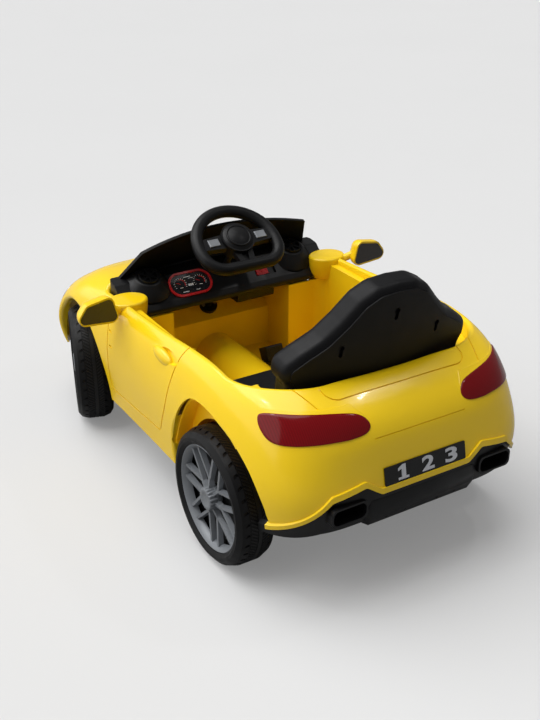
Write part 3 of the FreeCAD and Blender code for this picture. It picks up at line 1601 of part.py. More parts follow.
def mirror_outline(grow, x, share):
    """Outline of a mirror's open side, pulled towards its middle by a share."""
    mid_y = sum(mirror_points_y) / len(mirror_points_y)
    mid_z = sum(mirror_points_z) / len(mirror_points_z)
    points = [
        Vector(x, mid_y + (y - mid_y) * share, mid_z + (z - mid_z) * share)
        for y, z in zip(mirror_points_y, mirror_points_z)
    ]
    wire = rounded(points, mirror_round)
    return wire.makeOffset2D(grow) if grow else wire


def mirror_housing():
    rear = mirror_outline(mirror_border, mirror_glass_x - mirror_glass_recess, 1)
    waist = mirror_outline(mirror_border, mirror_glass_x + mirror_depth / 2, mirror_waist_share)
    nose = mirror_outline(0, mirror_glass_x + mirror_depth, mirror_nose_share)
    cup = Part.makeLoft([rear, waist, nose], True, False)
    pocket = Part.Face(mirror_outline(0, mirror_glass_x - overrun, 1))
    cup = cup.cut(pocket.extrude(Vector(overrun + mirror_glass_thickness + mirror_glass_recess, 0, 0)))
    root = Vector(mirror_arm_x, half_width - mirror_arm_sink, mirror_arm_z)
    tip_y = mirror_points_y[0] + mirror_arm_radius
    tip_z = mirror_points_z[0] + 2 * mirror_arm_radius
    tip = Vector(mirror_glass_x + mirror_depth / 2, tip_y, tip_z)
    reach = tip - root
    arm = rod(root, reach, reach.Length, mirror_arm_radius).cut(form(-running_gap))
    return cup.fuse(arm).removeSplitter()


def mirror_glass():
    face = Part.Face(mirror_outline(-running_gap, mirror_glass_x + mirror_glass_recess - running_gap, 1))
    return face.extrude(Vector(mirror_glass_thickness, 0, 0))


def bush_screws():
    seats = []
    for side in (-1, 1):
        seat = Vector(side * bush_radius * bush_screw_share, 0, -bush_place + bush_thickness + running_gap)
        head = rod(seat, up, screw_head_height, screw_radius)
        seats.append(in_wheel_frame(head))
    return Part.makeCompound(seats)


def beam_screws():
    places = [Vector(beam_post_x, side * beam_post_y, beam_top + running_gap) for side in (-1, 1)]
    return Part.makeCompound([rod(place, up, screw_head_height, 2 * screw_radius) for place in places])


def write(name, shape):
    """Saves one piece under its name."""
    shape.exportStep("parts/" + name + ".step")


os.makedirs("parts", exist_ok=True)
write("body_shell", body_shell())
write("cockpit_tub", cockpit_tub())
write("chassis_tray", chassis_tray())
write("dashboard", dashboard())
write("instrument_bezel", instrument_bezel())
write("instrument_panel", instrument_panel())
write("switch_box", switch_box())
write("power_switch", power_switch())
write("seat_shell", seat_shell())
write("seat_back_panel", seat_back_panel())
write("front_grille", front_grille())
write("number_plate", number_plate())
write("rear_diffuser", rear_diffuser())
write("steering_wheel", steering_wheel())
write("steering_hub_cap", hub_cap())
write("horn_button", spoke_button(-1))
write("music_button", spoke_button(1))
write("steering_column", steering_column())
write("column_bush", column_bush())
write("column_bush_screws", bush_screws())
write("front_beam", front_beam())
write("front_beam_screws", beam_screws())
write("tie_rod", tie_rod())
write("rear_axle", rear_axle())
write("gearbox_case", gearbox_case())
write("drive_motor", drive_motor())
write("battery", battery())
write("battery_clamp", battery_clamp())
write("control_module", control_module())
write("speaker", speaker())
write("charging_socket", charging_socket())
write("accelerator_pedal", accelerator_pedal())
write("pedal_hinge", pedal_hinge())
for pair_name, make in (
    ("tail_light", tail_light),
    ("headlight", headlight),
    ("exhaust_tip", exhaust_tip),
    ("mirror_housing", mirror_housing),
    ("mirror_glass", mirror_glass),
):
    piece = make()
    write(pair_name + "_left", piece)
    write(pair_name + "_right", flip(piece))
for side_name, side in (("left", 1), ("right", -1)):
    write("vent_" + side_name, dash_vent(side))
    write("knuckle_" + side_name, knuckle(side))
tyre = wheel_tyre()
cap = hubcap()
nut = axle_nut()
washer = axle_washer()
for end_name, front in (("front", True), ("rear", False)):
    for side_name, side in (("left", 1), ("right", -1)):
        write("tyre_" + end_name + "_" + side_name, on_wheel(tyre, front, side))
        write("hubcap_" + end_name + "_" + side_name, on_wheel(cap, front, side))
        if front:
            write("axle_nut_front_" + side_name, on_wheel(nut, front, side))
write("axle_nuts_rear", Part.makeCompound([on_wheel(nut, False, side) for side in (-1, 1)]))
write("axle_washers_rear", Part.makeCompound([on_wheel(washer, False, side) for side in (-1, 1)]))
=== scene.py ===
import json
import math
import bmesh
import bpy
from mathutils import Matrix, Vector
from mathutils.bvhtree import BVHTree


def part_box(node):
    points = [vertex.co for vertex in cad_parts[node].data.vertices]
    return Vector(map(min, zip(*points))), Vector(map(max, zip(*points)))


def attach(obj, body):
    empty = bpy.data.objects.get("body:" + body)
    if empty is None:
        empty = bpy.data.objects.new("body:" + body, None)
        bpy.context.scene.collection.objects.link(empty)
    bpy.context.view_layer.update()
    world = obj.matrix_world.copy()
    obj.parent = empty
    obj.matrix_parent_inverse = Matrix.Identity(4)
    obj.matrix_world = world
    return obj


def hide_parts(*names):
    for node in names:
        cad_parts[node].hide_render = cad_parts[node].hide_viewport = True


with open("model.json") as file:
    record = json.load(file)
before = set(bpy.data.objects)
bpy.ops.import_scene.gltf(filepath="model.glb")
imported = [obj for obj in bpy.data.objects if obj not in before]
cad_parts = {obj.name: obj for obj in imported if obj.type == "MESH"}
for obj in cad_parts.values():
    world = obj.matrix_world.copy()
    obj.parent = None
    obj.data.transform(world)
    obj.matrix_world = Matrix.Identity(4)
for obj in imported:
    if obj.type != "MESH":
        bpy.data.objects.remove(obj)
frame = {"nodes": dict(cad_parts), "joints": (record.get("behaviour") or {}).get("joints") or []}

scene = bpy.context.scene
scene.view_settings.view_transform = "Standard"
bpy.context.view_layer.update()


# Studio floor, camera and light
# A seamless pale floor that runs past the frame on every side.
# A wide soft key from above and a fill from the left light it, with small ceiling panels for the gloss.
floor_reach = 14.0
floor_tones = ((0.605, 0.605, 0.605, 1), (0.622, 0.622, 0.622, 1))
floor_bounce_tone = (0.30, 0.30, 0.30, 1)
floor_glow_tone = (0.80, 0.80, 0.80, 1)
floor_lift = 0.24
floor_roughness = 0.8
floor_shine = 0.1
floor_noise_scale = 1.3
camera_place = Vector((-1.398, 0.840, 0.993))
camera_aim = Vector((0.7628, -0.4667, -0.4476))
camera_lens = 50.7
camera_sensor = 36
key_from = Vector((0.30, 0.28, 1.0))
key_strength = 2.65
key_spread = 62.0
fill_from = Vector((0.60, 1.0, 0.45))
fill_strength = 2.0
fill_spread = 90.0
panel_places = ((-0.09, 0.77, 1.60), (-0.43, -0.75, 1.60))
panel_size = (0.10, 0.06)
panel_power = 1.4
sky_tone = (1, 1, 1, 1)
sky_strength = 0.24
sky_seen_tone = (0.79, 0.79, 0.79, 1)


def finish_start(name):
    """New material with its Principled shader, ready for nodes."""
    material = bpy.data.materials.new(name)
    material.use_nodes = True
    tree = material.node_tree
    shader = tree.nodes["Principled BSDF"]
    return material, tree, shader


def add_object(name, mesh):
    """Object for a mesh at the frame's origin."""
    thing = bpy.data.objects.new(name, mesh)
    scene.collection.objects.link(thing)
    return thing


def add_two_tones(tree, factor, first, second):
    """Mix of two tones by a factor, each tone a colour or a socket."""
    mix = tree.nodes.new("ShaderNodeMix")
    mix.data_type = "RGBA"
    tree.links.new(factor, mix.inputs["Factor"])
    for socket, tone in zip([s for s in mix.inputs if s.type == "RGBA"], (first, second)):
        if isinstance(tone, tuple):
            socket.default_value = tone
        else:
            tree.links.new(tone, socket)
    return [s for s in mix.outputs if s.type == "RGBA"][0]


floor_mesh = bpy.data.meshes.new("studio_floor")
floor_corners = [(x * floor_reach, y * floor_reach, 0) for x, y in ((-1, -1), (1, -1), (1, 1), (-1, 1))]
floor_mesh.from_pydata(floor_corners, [], [(0, 1, 2, 3)])
floor = add_object("studio_floor", floor_mesh)
floor_paint, floor_tree, floor_shader = finish_start("floor_paint")
floor_shader.inputs["Roughness"].default_value = floor_roughness
floor_shader.inputs["Specular IOR Level"].default_value = floor_shine
floor_place = floor_tree.nodes.new("ShaderNodeTexCoord").outputs["Object"]
floor_seen = floor_tree.nodes.new("ShaderNodeLightPath").outputs["Is Camera Ray"]
floor_noise = floor_tree.nodes.new("ShaderNodeTexNoise")
floor_noise.inputs["Scale"].default_value = floor_noise_scale
floor_tree.links.new(floor_place, floor_noise.inputs["Vector"])
floor_colour = add_two_tones(floor_tree, floor_noise.outputs["Fac"], *floor_tones)
floor_colour = add_two_tones(floor_tree, floor_seen, floor_bounce_tone, floor_colour)
floor_tree.links.new(floor_colour, floor_shader.inputs["Base Color"])
floor_share = floor_tree.nodes.new("ShaderNodeMath")
floor_share.operation = "MULTIPLY"
floor_share.inputs[1].default_value = floor_lift
floor_tree.links.new(floor_seen, floor_share.inputs[0])
floor_glow = floor_tree.nodes.new("ShaderNodeEmission")
floor_glow.inputs["Color"].default_value = floor_glow_tone
floor_mix = floor_tree.nodes.new("ShaderNodeMixShader")
floor_tree.links.new(floor_share.outputs[0], floor_mix.inputs[0])
floor_tree.links.new(floor_shader.outputs[0], floor_mix.inputs[1])
floor_tree.links.new(floor_glow.outputs[0], floor_mix.inputs[2])
floor_tree.links.new(floor_mix.outputs[0], floor_tree.nodes["Material Output"].inputs["Surface"])
floor.data.materials.append(floor_paint)

camera_data = bpy.data.cameras.new("camera")
camera_data.lens = camera_lens
camera_data.sensor_width = camera_sensor
camera = bpy.data.objects.new("camera", camera_data)
camera.location = camera_place
camera.rotation_euler = camera_aim.to_track_quat("-Z", "Y").to_euler()
scene.collection.objects.link(camera)
scene.camera = camera

world = bpy.data.worlds.new("studio_sky")
world.use_nodes = True
sky_tree = world.node_tree
sky_light = sky_tree.nodes["Background"]
sky_light.inputs["Color"].default_value = sky_tone
sky_light.inputs["Strength"].default_value = sky_strength
sky_seen = sky_tree.nodes.new("ShaderNodeBackground")
sky_seen.inputs["Color"].default_value = sky_seen_tone
sky_mix = sky_tree.nodes.new("ShaderNodeMixShader")
sky_rays = sky_tree.nodes.new("ShaderNodeLightPath")
sky_tree.links.new(sky_rays.outputs["Is Camera Ray"], sky_mix.inputs[0])
sky_tree.links.new(sky_light.outputs[0], sky_mix.inputs[1])
sky_tree.links.new(sky_seen.outputs[0], sky_mix.inputs[2])
sky_tree.links.new(sky_mix.outputs[0], sky_tree.nodes["World Output"].inputs["Surface"])
scene.world = world

for sun_name, sun_from, sun_strength, sun_spread in (
    ("key_light", key_from, key_strength, key_spread),
    ("fill_light", fill_from, fill_strength, fill_spread),
):
    sun = bpy.data.lights.new(sun_name, "SUN")
    sun.energy = sun_strength
    sun.angle = math.radians(sun_spread)
    sun_holder = bpy.data.objects.new(sun_name, sun)
    sun_holder.rotation_euler = (-sun_from).to_track_quat("-Z", "Y").to_euler()
    scene.collection.objects.link(sun_holder)
for panel_number, panel_place in enumerate(panel_places):
    panel = bpy.data.lights.new("ceiling_panel_%d" % panel_number, "AREA")
    panel.shape = "RECTANGLE"
    panel.size, panel.size_y = panel_size
    panel.energy = panel_power
    panel_holder = bpy.data.objects.new(panel.name, panel)
    panel_holder.location = panel_place
    panel_holder.rotation_euler = (-Vector(panel_place)).to_track_quat("-Z", "Y").to_euler()
    scene.collection.objects.link(panel_holder)


# Yellow body, tub and mirror housings
# Blow-moulded glossy yellow plastic, one skin of about four millimetres.
# Fine flow marks and a faint orange peel from the mould break up its gloss.
yellow_light = (0.90, 0.61, 0.010, 1)
yellow_deep = (0.85, 0.555, 0.006, 1)
yellow_pieces = ("body_shell", "cockpit_tub", "mirror_housing_left", "mirror_housing_right")
flow_detail = 4.0
scuff_detail = 6.0
scuff_share = 7.0
peel_detail = 2.0
noise_span = (0.3, 0.7)
relief_depth = 0.0004
nodes = frame["nodes"]


def shader_group(name, inputs, outputs):
    """Empty shader node group with named number inputs and outputs."""
    group = bpy.data.node_groups.new(name, "ShaderNodeTree")
    for title, value in inputs:
        socket = group.interface.new_socket(title, in_out="INPUT", socket_type="NodeSocketFloat")
        socket.default_value = value
    for title in outputs:
        group.interface.new_socket(title, in_out="OUTPUT", socket_type="NodeSocketFloat")
    return group, group.nodes.new("NodeGroupInput"), group.nodes.new("NodeGroupOutput")


def set_inputs(node, values):
    """Constants for a node's inputs, each named in small letters."""
    for title, value in values.items():
        node.inputs[title.replace("_", " ").title()].default_value = value


def add_noise(tree, place, scale, detail):
    """Noise texture on given coordinates, its scale given by a socket."""
    noise = tree.nodes.new("ShaderNodeTexNoise")
    noise.inputs["Detail"].default_value = detail
    tree.links.new(place, noise.inputs["Vector"])
    tree.links.new(scale, noise.inputs["Scale"])
    return noise.outputs["Fac"]


def add_sum(tree, kind, first, second):
    """Math node on two sockets or numbers."""
    node = tree.nodes.new("ShaderNodeMath")
    node.operation = kind
    for socket, value in zip(node.inputs, (first, second)):
        if isinstance(value, (int, float)):
            socket.default_value = value
        else:
            tree.links.new(value, socket)
    return node.outputs[0]


def add_spread(tree, value, low, high):
    """Noise spread over a range given by sockets or numbers."""
    node = tree.nodes.new("ShaderNodeMapRange")
    node.inputs["From Min"].default_value = noise_span[0]
    node.inputs["From Max"].default_value = noise_span[1]
    tree.links.new(value, node.inputs["Value"])
    for title, end in (("To Min", low), ("To Max", high)):
        if isinstance(end, (int, float)):
            node.inputs[title].default_value = end
        else:
            tree.links.new(end, node.inputs[title])
    return node.outputs["Result"]


moulding, moulding_in, moulding_out = shader_group(
    "moulding_marks",
    (("Flow Scale", 4.0), ("Peel Scale", 240.0), ("Gloss Low", 0.2), ("Gloss High", 0.3)),
    ("Tone", "Gloss", "Height"),
)
moulding_place = moulding.nodes.new("ShaderNodeTexCoord").outputs["Object"]
flow_scale = moulding_in.outputs["Flow Scale"]
moulding_flow = add_noise(moulding, moulding_place, flow_scale, flow_detail)
scuff_scale = add_sum(moulding, "MULTIPLY", flow_scale, scuff_share)
moulding_scuff = add_noise(moulding, moulding_place, scuff_scale, scuff_detail)
moulding_peel = add_noise(moulding, moulding_place, moulding_in.outputs["Peel Scale"], peel_detail)
moulding_gloss = add_spread(
    moulding, moulding_scuff, moulding_in.outputs["Gloss Low"], moulding_in.outputs["Gloss High"]
)
moulding.links.new(add_spread(moulding, moulding_flow, 0.0, 1.0), moulding_out.inputs["Tone"])
moulding.links.new(moulding_gloss, moulding_out.inputs["Gloss"])
moulding.links.new(moulding_peel, moulding_out.inputs["Height"])


def add_ribs(tree, scale):
    """Fine upright ribs side by side across the car, as a factor between two tones."""
    ribs = tree.nodes.new("ShaderNodeTexWave")
    ribs.bands_direction = "Y"
    ribs.inputs["Scale"].default_value = scale
    tree.links.new(tree.nodes.new("ShaderNodeTexCoord").outputs["Object"], ribs.inputs["Vector"])
    return ribs.outputs["Fac"]


def add_bump(tree, shader, height, strength):
    """Small relief on the shader's normal."""
    bump = tree.nodes.new("ShaderNodeBump")
    bump.inputs["Strength"].default_value = strength
    bump.inputs["Distance"].default_value = relief_depth
    tree.links.new(height, bump.inputs["Height"])
    tree.links.new(bump.outputs["Normal"], shader.inputs["Normal"])


def moulded_finish(name, first, second, gloss, flow, peel, relief, shine=0.5, ribs=0.0, **inputs):
    """Moulded plastic of two close tones, mottled or ribbed, with its own gloss range and relief."""
    material, tree, shader = finish_start(name)
    marks = tree.nodes.new("ShaderNodeGroup")
    marks.node_tree = moulding
    gloss_low, gloss_high = gloss
    set_inputs(marks, {"flow_scale": flow, "peel_scale": peel})
    set_inputs(marks, {"gloss_low": gloss_low, "gloss_high": gloss_high})
    tone = add_ribs(tree, ribs) if ribs else marks.outputs["Tone"]
    tree.links.new(add_two_tones(tree, tone, first, second), shader.inputs["Base Color"])
    tree.links.new(marks.outputs["Gloss"], shader.inputs["Roughness"])
    shader.inputs["Specular IOR Level"].default_value = shine
    set_inputs(shader, inputs)
    add_bump(tree, shader, marks.outputs["Height"], relief)
    return material


def wear(node, material):
    """Gives a frame node its finish."""
    slots = nodes[node].material_slots
    if not slots:
        nodes[node].data.materials.append(material)
    for slot in slots:
        slot.material = material


yellow_plastic = moulded_finish(
    "yellow_plastic", yellow_light, yellow_deep,
    gloss=(0.17, 0.27), flow=3.0, peel=260.0, relief=0.05, shine=0.36, coat_weight=0.16, coat_roughness=0.05,
)
for piece in yellow_pieces:
    wear(piece, yellow_plastic)


# Yellow pillars at the ends of the dash
# Blow-moulded with the tub: a short rounded column on each side that the dash butts against.
# Their flat tops have a rolled edge and stand beside the door rail.
pillar_middle = (0.107, 0.208)
pillar_reach = (0.030, 0.036)
pillar_levels = ((0.258, 0.014), (0.262, 0.008), (0.272, 0.003), (0.285, 0.001), (0.2995, 0.0))
pillar_top = 0.304
pillar_roll = 0.0045
pillar_roll_steps = 5
ring_steps = 48
crease = math.radians(40)
sides = (("left", 1), ("right", -1))


def turns(count):
    """Even turns round a full circle."""
    return [math.tau * step / count for step in range(count)]


def ring_stack(rings, looped=False):
    """Skin through rings of equal count, capped at both ends or joined into a loop."""
    form = bmesh.new()
    rows = [[form.verts.new(point) for point in ring] for ring in rings]
    pairs = list(zip(rows, rows[1:]))
    if looped:
        pairs.append((rows[-1], rows[0]))
    else:
        form.faces.new(rows[0])
        form.faces.new(rows[-1])
    for low, high in pairs:
        for index in range(len(low)):
            after = (index + 1) % len(low)
            form.faces.new((low[index], low[after], high[after], high[index]))
    return form


def form_mesh(form, name="form_mesh"):
    """Mesh of a form."""
    mesh = bpy.data.meshes.new(name)
    form.to_mesh(mesh)
    form.free()
    return mesh


def dressed(name, form, material, body):
    """Finished piece made from its form and carried by a body."""
    bmesh.ops.recalc_face_normals(form, faces=form.faces)
    mesh = form_mesh(form, name)
    mesh.shade_smooth()
    mesh.set_sharp_from_angle(angle=crease)
    mesh.materials.append(material)
    thing = add_object(name, mesh)
    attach(thing, body)
    return thing


rolled_levels = list(pillar_levels)
for step in range(1, pillar_roll_steps + 1):
    roll = math.radians(90) * step / pillar_roll_steps
    level = pillar_top - pillar_roll * (1 - math.sin(roll))
    rolled_levels.append((level, pillar_roll * (1 - math.cos(roll))))
for side_name, side in sides:
    pillar_rings = []
    for level, inset in rolled_levels:
        reach_x, reach_y = (reach - inset for reach in pillar_reach)
        middle_x, middle_y = pillar_middle[0], side * pillar_middle[1]
        pillar_rings.append([
            (middle_x + reach_x * math.cos(turn), middle_y + reach_y * math.sin(turn), level)
            for turn in turns(ring_steps)
        ])
    dressed("dash_pillar_" + side_name, ring_stack(pillar_rings), yellow_plastic, "car")


# Door handles
# A blown bulge in each door skin, just ahead of the finger scoop behind it.
handle_middle = (-0.088, 0.2365, 0.2835)
handle_reach = (0.031, 0.0085, 0.0125)
handle_tilt = math.radians(-4)
handle_rows = 24
for side_name, side in sides:
    handle_form = bmesh.new()
    bmesh.ops.create_uvsphere(handle_form, u_segments=ring_steps, v_segments=handle_rows, radius=1)
    handle_place = Matrix.Translation((handle_middle[0], side * handle_middle[1], handle_middle[2]))
    handle_place = handle_place @ Matrix.Rotation(handle_tilt, 4, "Y") @ Matrix.Diagonal((*handle_reach, 1))
    bmesh.ops.transform(handle_form, matrix=handle_place, verts=handle_form.verts)
    dressed("door_handle_" + side_name, handle_form, yellow_plastic, "car")


# Side pit of the tub
# The tub's ledge stops beside the seat on the left, where the floor runs on into a shallow pit.
# The pit is part of the yellow tub moulding.
pit_low = Vector((-0.262, 0.166, 0.238))
pit_high = Vector((-0.108, 0.2105, 0.300))
pit_wall = 0.002
pit_wall_top = 0.2915
merge_reach = 0.000002


def box_form(low, high):
    """Plain block between two corners."""
    corners = ((low.x, low.y), (high.x, low.y), (high.x, high.y), (low.x, high.y))
    return ring_stack([[(x, y, level) for x, y in corners] for level in (low.z, high.z)])


def carved(node, name, cutters):
    """Yellow copy of a frame node with some forms cut out of it, its own seams kept sharp."""
    form = bmesh.new()
    form.from_mesh(nodes[node].data)
    for edge in form.edges:
        edge.smooth = not edge.is_boundary
    bmesh.ops.remove_doubles(form, verts=form.verts, dist=merge_reach)
    holder = add_object(name + "_uncut", form_mesh(form))
    spares = [holder]
    for cutter_form in cutters:
        bmesh.ops.recalc_face_normals(cutter_form, faces=cutter_form.faces)
        for edge in cutter_form.edges:
            edge.smooth = False
        spares.append(add_object(name + "_cutter", form_mesh(cutter_form)))
        cut = holder.modifiers.new("cut", "BOOLEAN")
        cut.operation = "DIFFERENCE"
        cut.object = spares[-1]
    shown = holder.evaluated_get(bpy.context.evaluated_depsgraph_get())
    form = bmesh.new()
    form.from_mesh(bpy.data.meshes.new_from_object(shown))
    for spare in spares:
        bpy.data.objects.remove(spare)
    for edge in form.edges:
        if len(edge.link_faces) == 2 and edge.calc_face_angle() > crease:
            edge.smooth = False
    for face in form.faces:
        face.smooth = True
    mesh = form_mesh(form)
    mesh.materials.clear()
    mesh.materials.append(yellow_plastic)
    whole = add_object(name, mesh)
    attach(whole, "car")
    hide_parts(node)


def gathered(meshes, place=Matrix.Identity(4)):
    """One form from several meshes, set in place."""
    form = bmesh.new()
    for mesh in meshes:
        form.from_mesh(mesh)
    bmesh.ops.transform(form, matrix=place, verts=form.verts)
    return form


carved("cockpit_tub", "tub_with_pit", [box_form(pit_low, pit_high)])
pit_foot = pit_low.z - pit_wall
pit_outer = pit_high.y + pit_wall
pit_blocks = (
    ((pit_low.x, pit_low.y, pit_foot), (pit_high.x, pit_high.y, pit_low.z)),
    ((pit_low.x, pit_high.y, pit_foot), (pit_high.x, pit_outer, pit_wall_top)),
    ((pit_low.x - pit_wall, pit_low.y, pit_foot), (pit_low.x, pit_outer, pit_wall_top)),
)
pit_meshes = [form_mesh(box_form(Vector(low), Vector(high))) for low, high in pit_blocks]
dressed("tub_pit", gathered(pit_meshes), yellow_plastic, "car")


# Rear arches and wells
# The rear wheel openings rise to a rounded peak ahead of the axle, cut crisp through the blown skin.
# A yellow lining closes each well; an orange emission in its finish is a painted glow, standing in for light
# through its thin wall.
arch_outline = (
    (-0.1265, 0.1450), (-0.1290, 0.1600), (-0.1430, 0.1935), (-0.1670, 0.2340), (-0.1945, 0.2595),
    (-0.2250, 0.2660), (-0.2595, 0.2630), (-0.2910, 0.2525), (-0.3235, 0.2375), (-0.3535, 0.2150),
    (-0.3745, 0.1830), (-0.3815, 0.1480),
)
arch_foot = ((-0.3600, 0.0900), (-0.2500, 0.0500), (-0.1450, 0.0900))
arch_reach = (0.2125, 0.300)
curve_steps = 6
well_near, well_far = (0.2130, 0.2385)
well_wall = 0.0035
well_back = well_near + well_wall / 3
well_split = 8
well_axle = Vector((-0.247, 0.110))
well_hole = 0.1175
# Painted glow: colour and strength of the lining's orange emission, painted light where there is no lamp.
painted_glow_tone = (0.62, 0.20, 0.002, 1)
painted_glow_strength = 0.2


def closed_curve(points):
    """Smooth closed curve through points, with even steps between each two."""
    curve = []
    for index in range(len(points)):
        a, b, c, d = (Vector(points[(index + shift) % len(points)]) for shift in (-1, 0, 1, 2))
        for step in range(curve_steps):
            t = step / curve_steps
            point = 2 * b + (c - a) * t
            point += (2 * a - 5 * b + 4 * c - d) * t ** 2
            point += (3 * b - a - 3 * c + d) * t ** 3
            curve.append(0.5 * point)
    return curve


# Lining finish: the yellow moulding with the painted orange glow as emission.
well_plastic_painted_glow = moulded_finish(
    "well_plastic_painted_glow", yellow_light, yellow_deep,
    gloss=(0.3, 0.4), flow=3.0, peel=260.0, relief=0.05, shine=0.2,
    emission_color=painted_glow_tone, emission_strength=painted_glow_strength,
)
arch_curve = closed_curve(arch_outline + arch_foot)
roof_curve = arch_curve[:curve_steps * well_split + 1]
arch_cutters = [box_form(pit_low, pit_high)]
for side_name, side in sides:
    arch_cutters.append(ring_stack([[(p.x, side * y, p.y) for p in arch_curve] for y in arch_reach]))
    roof_rings = []
    back_rings = []
    for point in roof_curve:
        spoke = (point - well_axle).normalized()
        inner = point - spoke * well_wall
        hole = well_axle + spoke * well_hole
        for rings, corners in (
            (roof_rings, ((point, well_near), (point, well_far), (inner, well_far), (inner, well_near))),
            (back_rings, ((point, well_near), (point, well_back), (hole, well_back), (hole, well_near))),
        ):
            rings.append([(spot.x, side * y, spot.y) for spot, y in corners])
    well_meshes = [form_mesh(ring_stack(rings)) for rings in (roof_rings, back_rings)]
    dressed("wheel_well_" + side_name, gathered(well_meshes), well_plastic_painted_glow, "car")
carved("body_shell", "body_with_arches", arch_cutters)


# Black trim: dash, column, diffuser, grille and housings
# Satin black moulded plastic with a fine spark-eroded grain.
# The same finish serves the dash, its vents, the steering column, the bumper trim and the pedal.
black_tones = ((0.0035, 0.0035, 0.004, 1), (0.007, 0.007, 0.0075, 1))
black_pieces = (
    "dashboard", "steering_column", "vent_left", "vent_right", "switch_box", "front_grille",
    "rear_diffuser", "chassis_tray", "exhaust_tip_left", "exhaust_tip_right", "column_bush",
    "accelerator_pedal", "pedal_hinge", "gearbox_case", "battery_clamp", "control_module", "speaker",
    "charging_socket",
)
black_plastic = moulded_finish(
    "black_plastic", *black_tones, gloss=(0.30, 0.44), flow=5.0, peel=900.0, relief=0.12, shine=0.24
)
for piece in black_pieces:
    wear(piece, black_plastic)


# Cowl root and vent skirts
# Black moulded strip along the foot of the cowl and a sloped collar round each jet vent.
# Both belong to the dash moulding.
cowl_root_ends = (0.180, 0.199, 0.304)
cowl_root_rise = (0.006, 0.012)
cowl_root_radius = 0.0055
cowl_root_steps = 40
cowl_root_sides = 12
vent_foot = Vector((0.150, 0.150, 0.304))
vent_lean = math.radians(24)
vent_axis = Vector((-math.sin(vent_lean), 0, math.cos(vent_lean)))
vent_forward = Vector((math.cos(vent_lean), 0, math.sin(vent_lean)))
skirt_front = 0.0255
skirt_rings = (
    (0.0450, -0.0040), (0.0385, 0.0040), (0.0310, 0.0105), (0.0255, 0.0150), (0.0235, 0.0172),
    (0.0205, 0.0178), (0.0178, 0.0165), (0.0178, 0.0),
)
root_rings = []
for step in range(cowl_root_steps + 1):
    share = 2 * step / cowl_root_steps - 1
    lift = 1 - share * share
    middle = Vector((
        cowl_root_ends[0] + cowl_root_rise[0] * lift,
        cowl_root_ends[1] * share,
        cowl_root_ends[2] + cowl_root_rise[1] * lift,
    ))
    root_rings.append([
        middle + Vector((math.cos(turn), 0, math.sin(turn))) * cowl_root_radius
        for turn in turns(cowl_root_sides)
    ])
dressed("cowl_root", ring_stack(root_rings), black_plastic, "car")
for side_name, side in sides:
    foot = Vector((vent_foot.x, side * vent_foot.y, vent_foot.z))
    rings = []
    for radius, rise in skirt_rings:
        rings.append([
            foot + vent_axis * rise + vent_forward * min(radius * math.cos(turn), skirt_front)
            + Vector((0, radius * math.sin(turn), 0))
            for turn in turns(ring_steps)
        ])
    dressed("vent_skirt_" + side_name, ring_stack(rings, looped=True), black_plastic, "car")


# Diffuser box
# Black box moulded under the middle of the rear bumper, with chamfered ends.
# It bridges the four fins of the diffuser panel.
box_half = 0.096
box_x, box_z = (-0.4300, 0.172)
box_profile = (
    (-0.4560, box_z), (-0.4595, 0.160), (-0.4580, 0.144), (-0.4480, 0.126), (-0.4330, 0.121), (box_x, box_z),
)
box_shares = ((-1.10, 0.55), (-1.0, 0.93), (-0.97, 1.0), (0.97, 1.0), (1.0, 0.93), (1.10, 0.55))
box_rings = []
for along, share in box_shares:
    box_rings.append([
        (box_x + (x - box_x) * share, box_half * along, box_z + (z - box_z) * share) for x, z in box_profile
    ])
dressed("diffuser_box", ring_stack(box_rings), black_plastic, "car")


# Seat
# Two black mouldings: the padded-looking bucket and a hard panel behind it.
# Both carry a fine leather grain pressed in by the mould.
seat_tones = ((0.003, 0.003, 0.0035, 1), (0.006, 0.006, 0.0068, 1))
seat_plastic = moulded_finish(
    "seat_plastic", *seat_tones, gloss=(0.38, 0.50), flow=4.0, peel=1400.0, relief=0.2, shine=0.15
)
for piece in ("seat_shell", "seat_back_panel"):
    wear(piece, seat_plastic)


# Steering wheel
# Black moulded rim, spokes and domed hub cap with two silver buttons.
# It turns with the black column that runs down to the linkage.
wheel_tones = ((0.003, 0.003, 0.0034, 1), (0.006, 0.006, 0.0064, 1))
wheel_plastic = moulded_finish(
    "wheel_plastic", *wheel_tones, gloss=(0.36, 0.5), flow=6.0, peel=1100.0, relief=0.12, shine=0.2
)
for piece in ("steering_wheel", "steering_hub_cap"):
    wear(piece, wheel_plastic)
silver_paint = moulded_finish(
    "silver_paint", (0.21, 0.22, 0.235, 1), (0.27, 0.28, 0.295, 1),
    gloss=(0.3, 0.4), flow=20.0, peel=2600.0, relief=0.06, metallic=0.35,
)
for piece in ("horn_button", "music_button"):
    wear(piece, silver_paint)


# Wheels
# Hard black moulded tyres with tread lugs and grey painted spoked caps.
# Each pair is pressed together and turns on its axle end.
tyre_tones = ((0.004, 0.004, 0.0045, 1), (0.009, 0.009, 0.009, 1))
tyre_plastic = moulded_finish(
    "tyre_plastic", *tyre_tones, gloss=(0.36, 0.55), flow=8.0, peel=700.0, relief=0.12, shine=0.14
)
cap_paint = moulded_finish(
    "cap_paint", (0.135, 0.145, 0.158, 1), (0.180, 0.190, 0.204, 1),
    gloss=(0.34, 0.46), flow=9.0, peel=3000.0, relief=0.05, metallic=0.2,
)
for corner in ("front_left", "front_right", "rear_left", "rear_right"):
    wear("tyre_" + corner, tyre_plastic)
    wear("hubcap_" + corner, cap_paint)


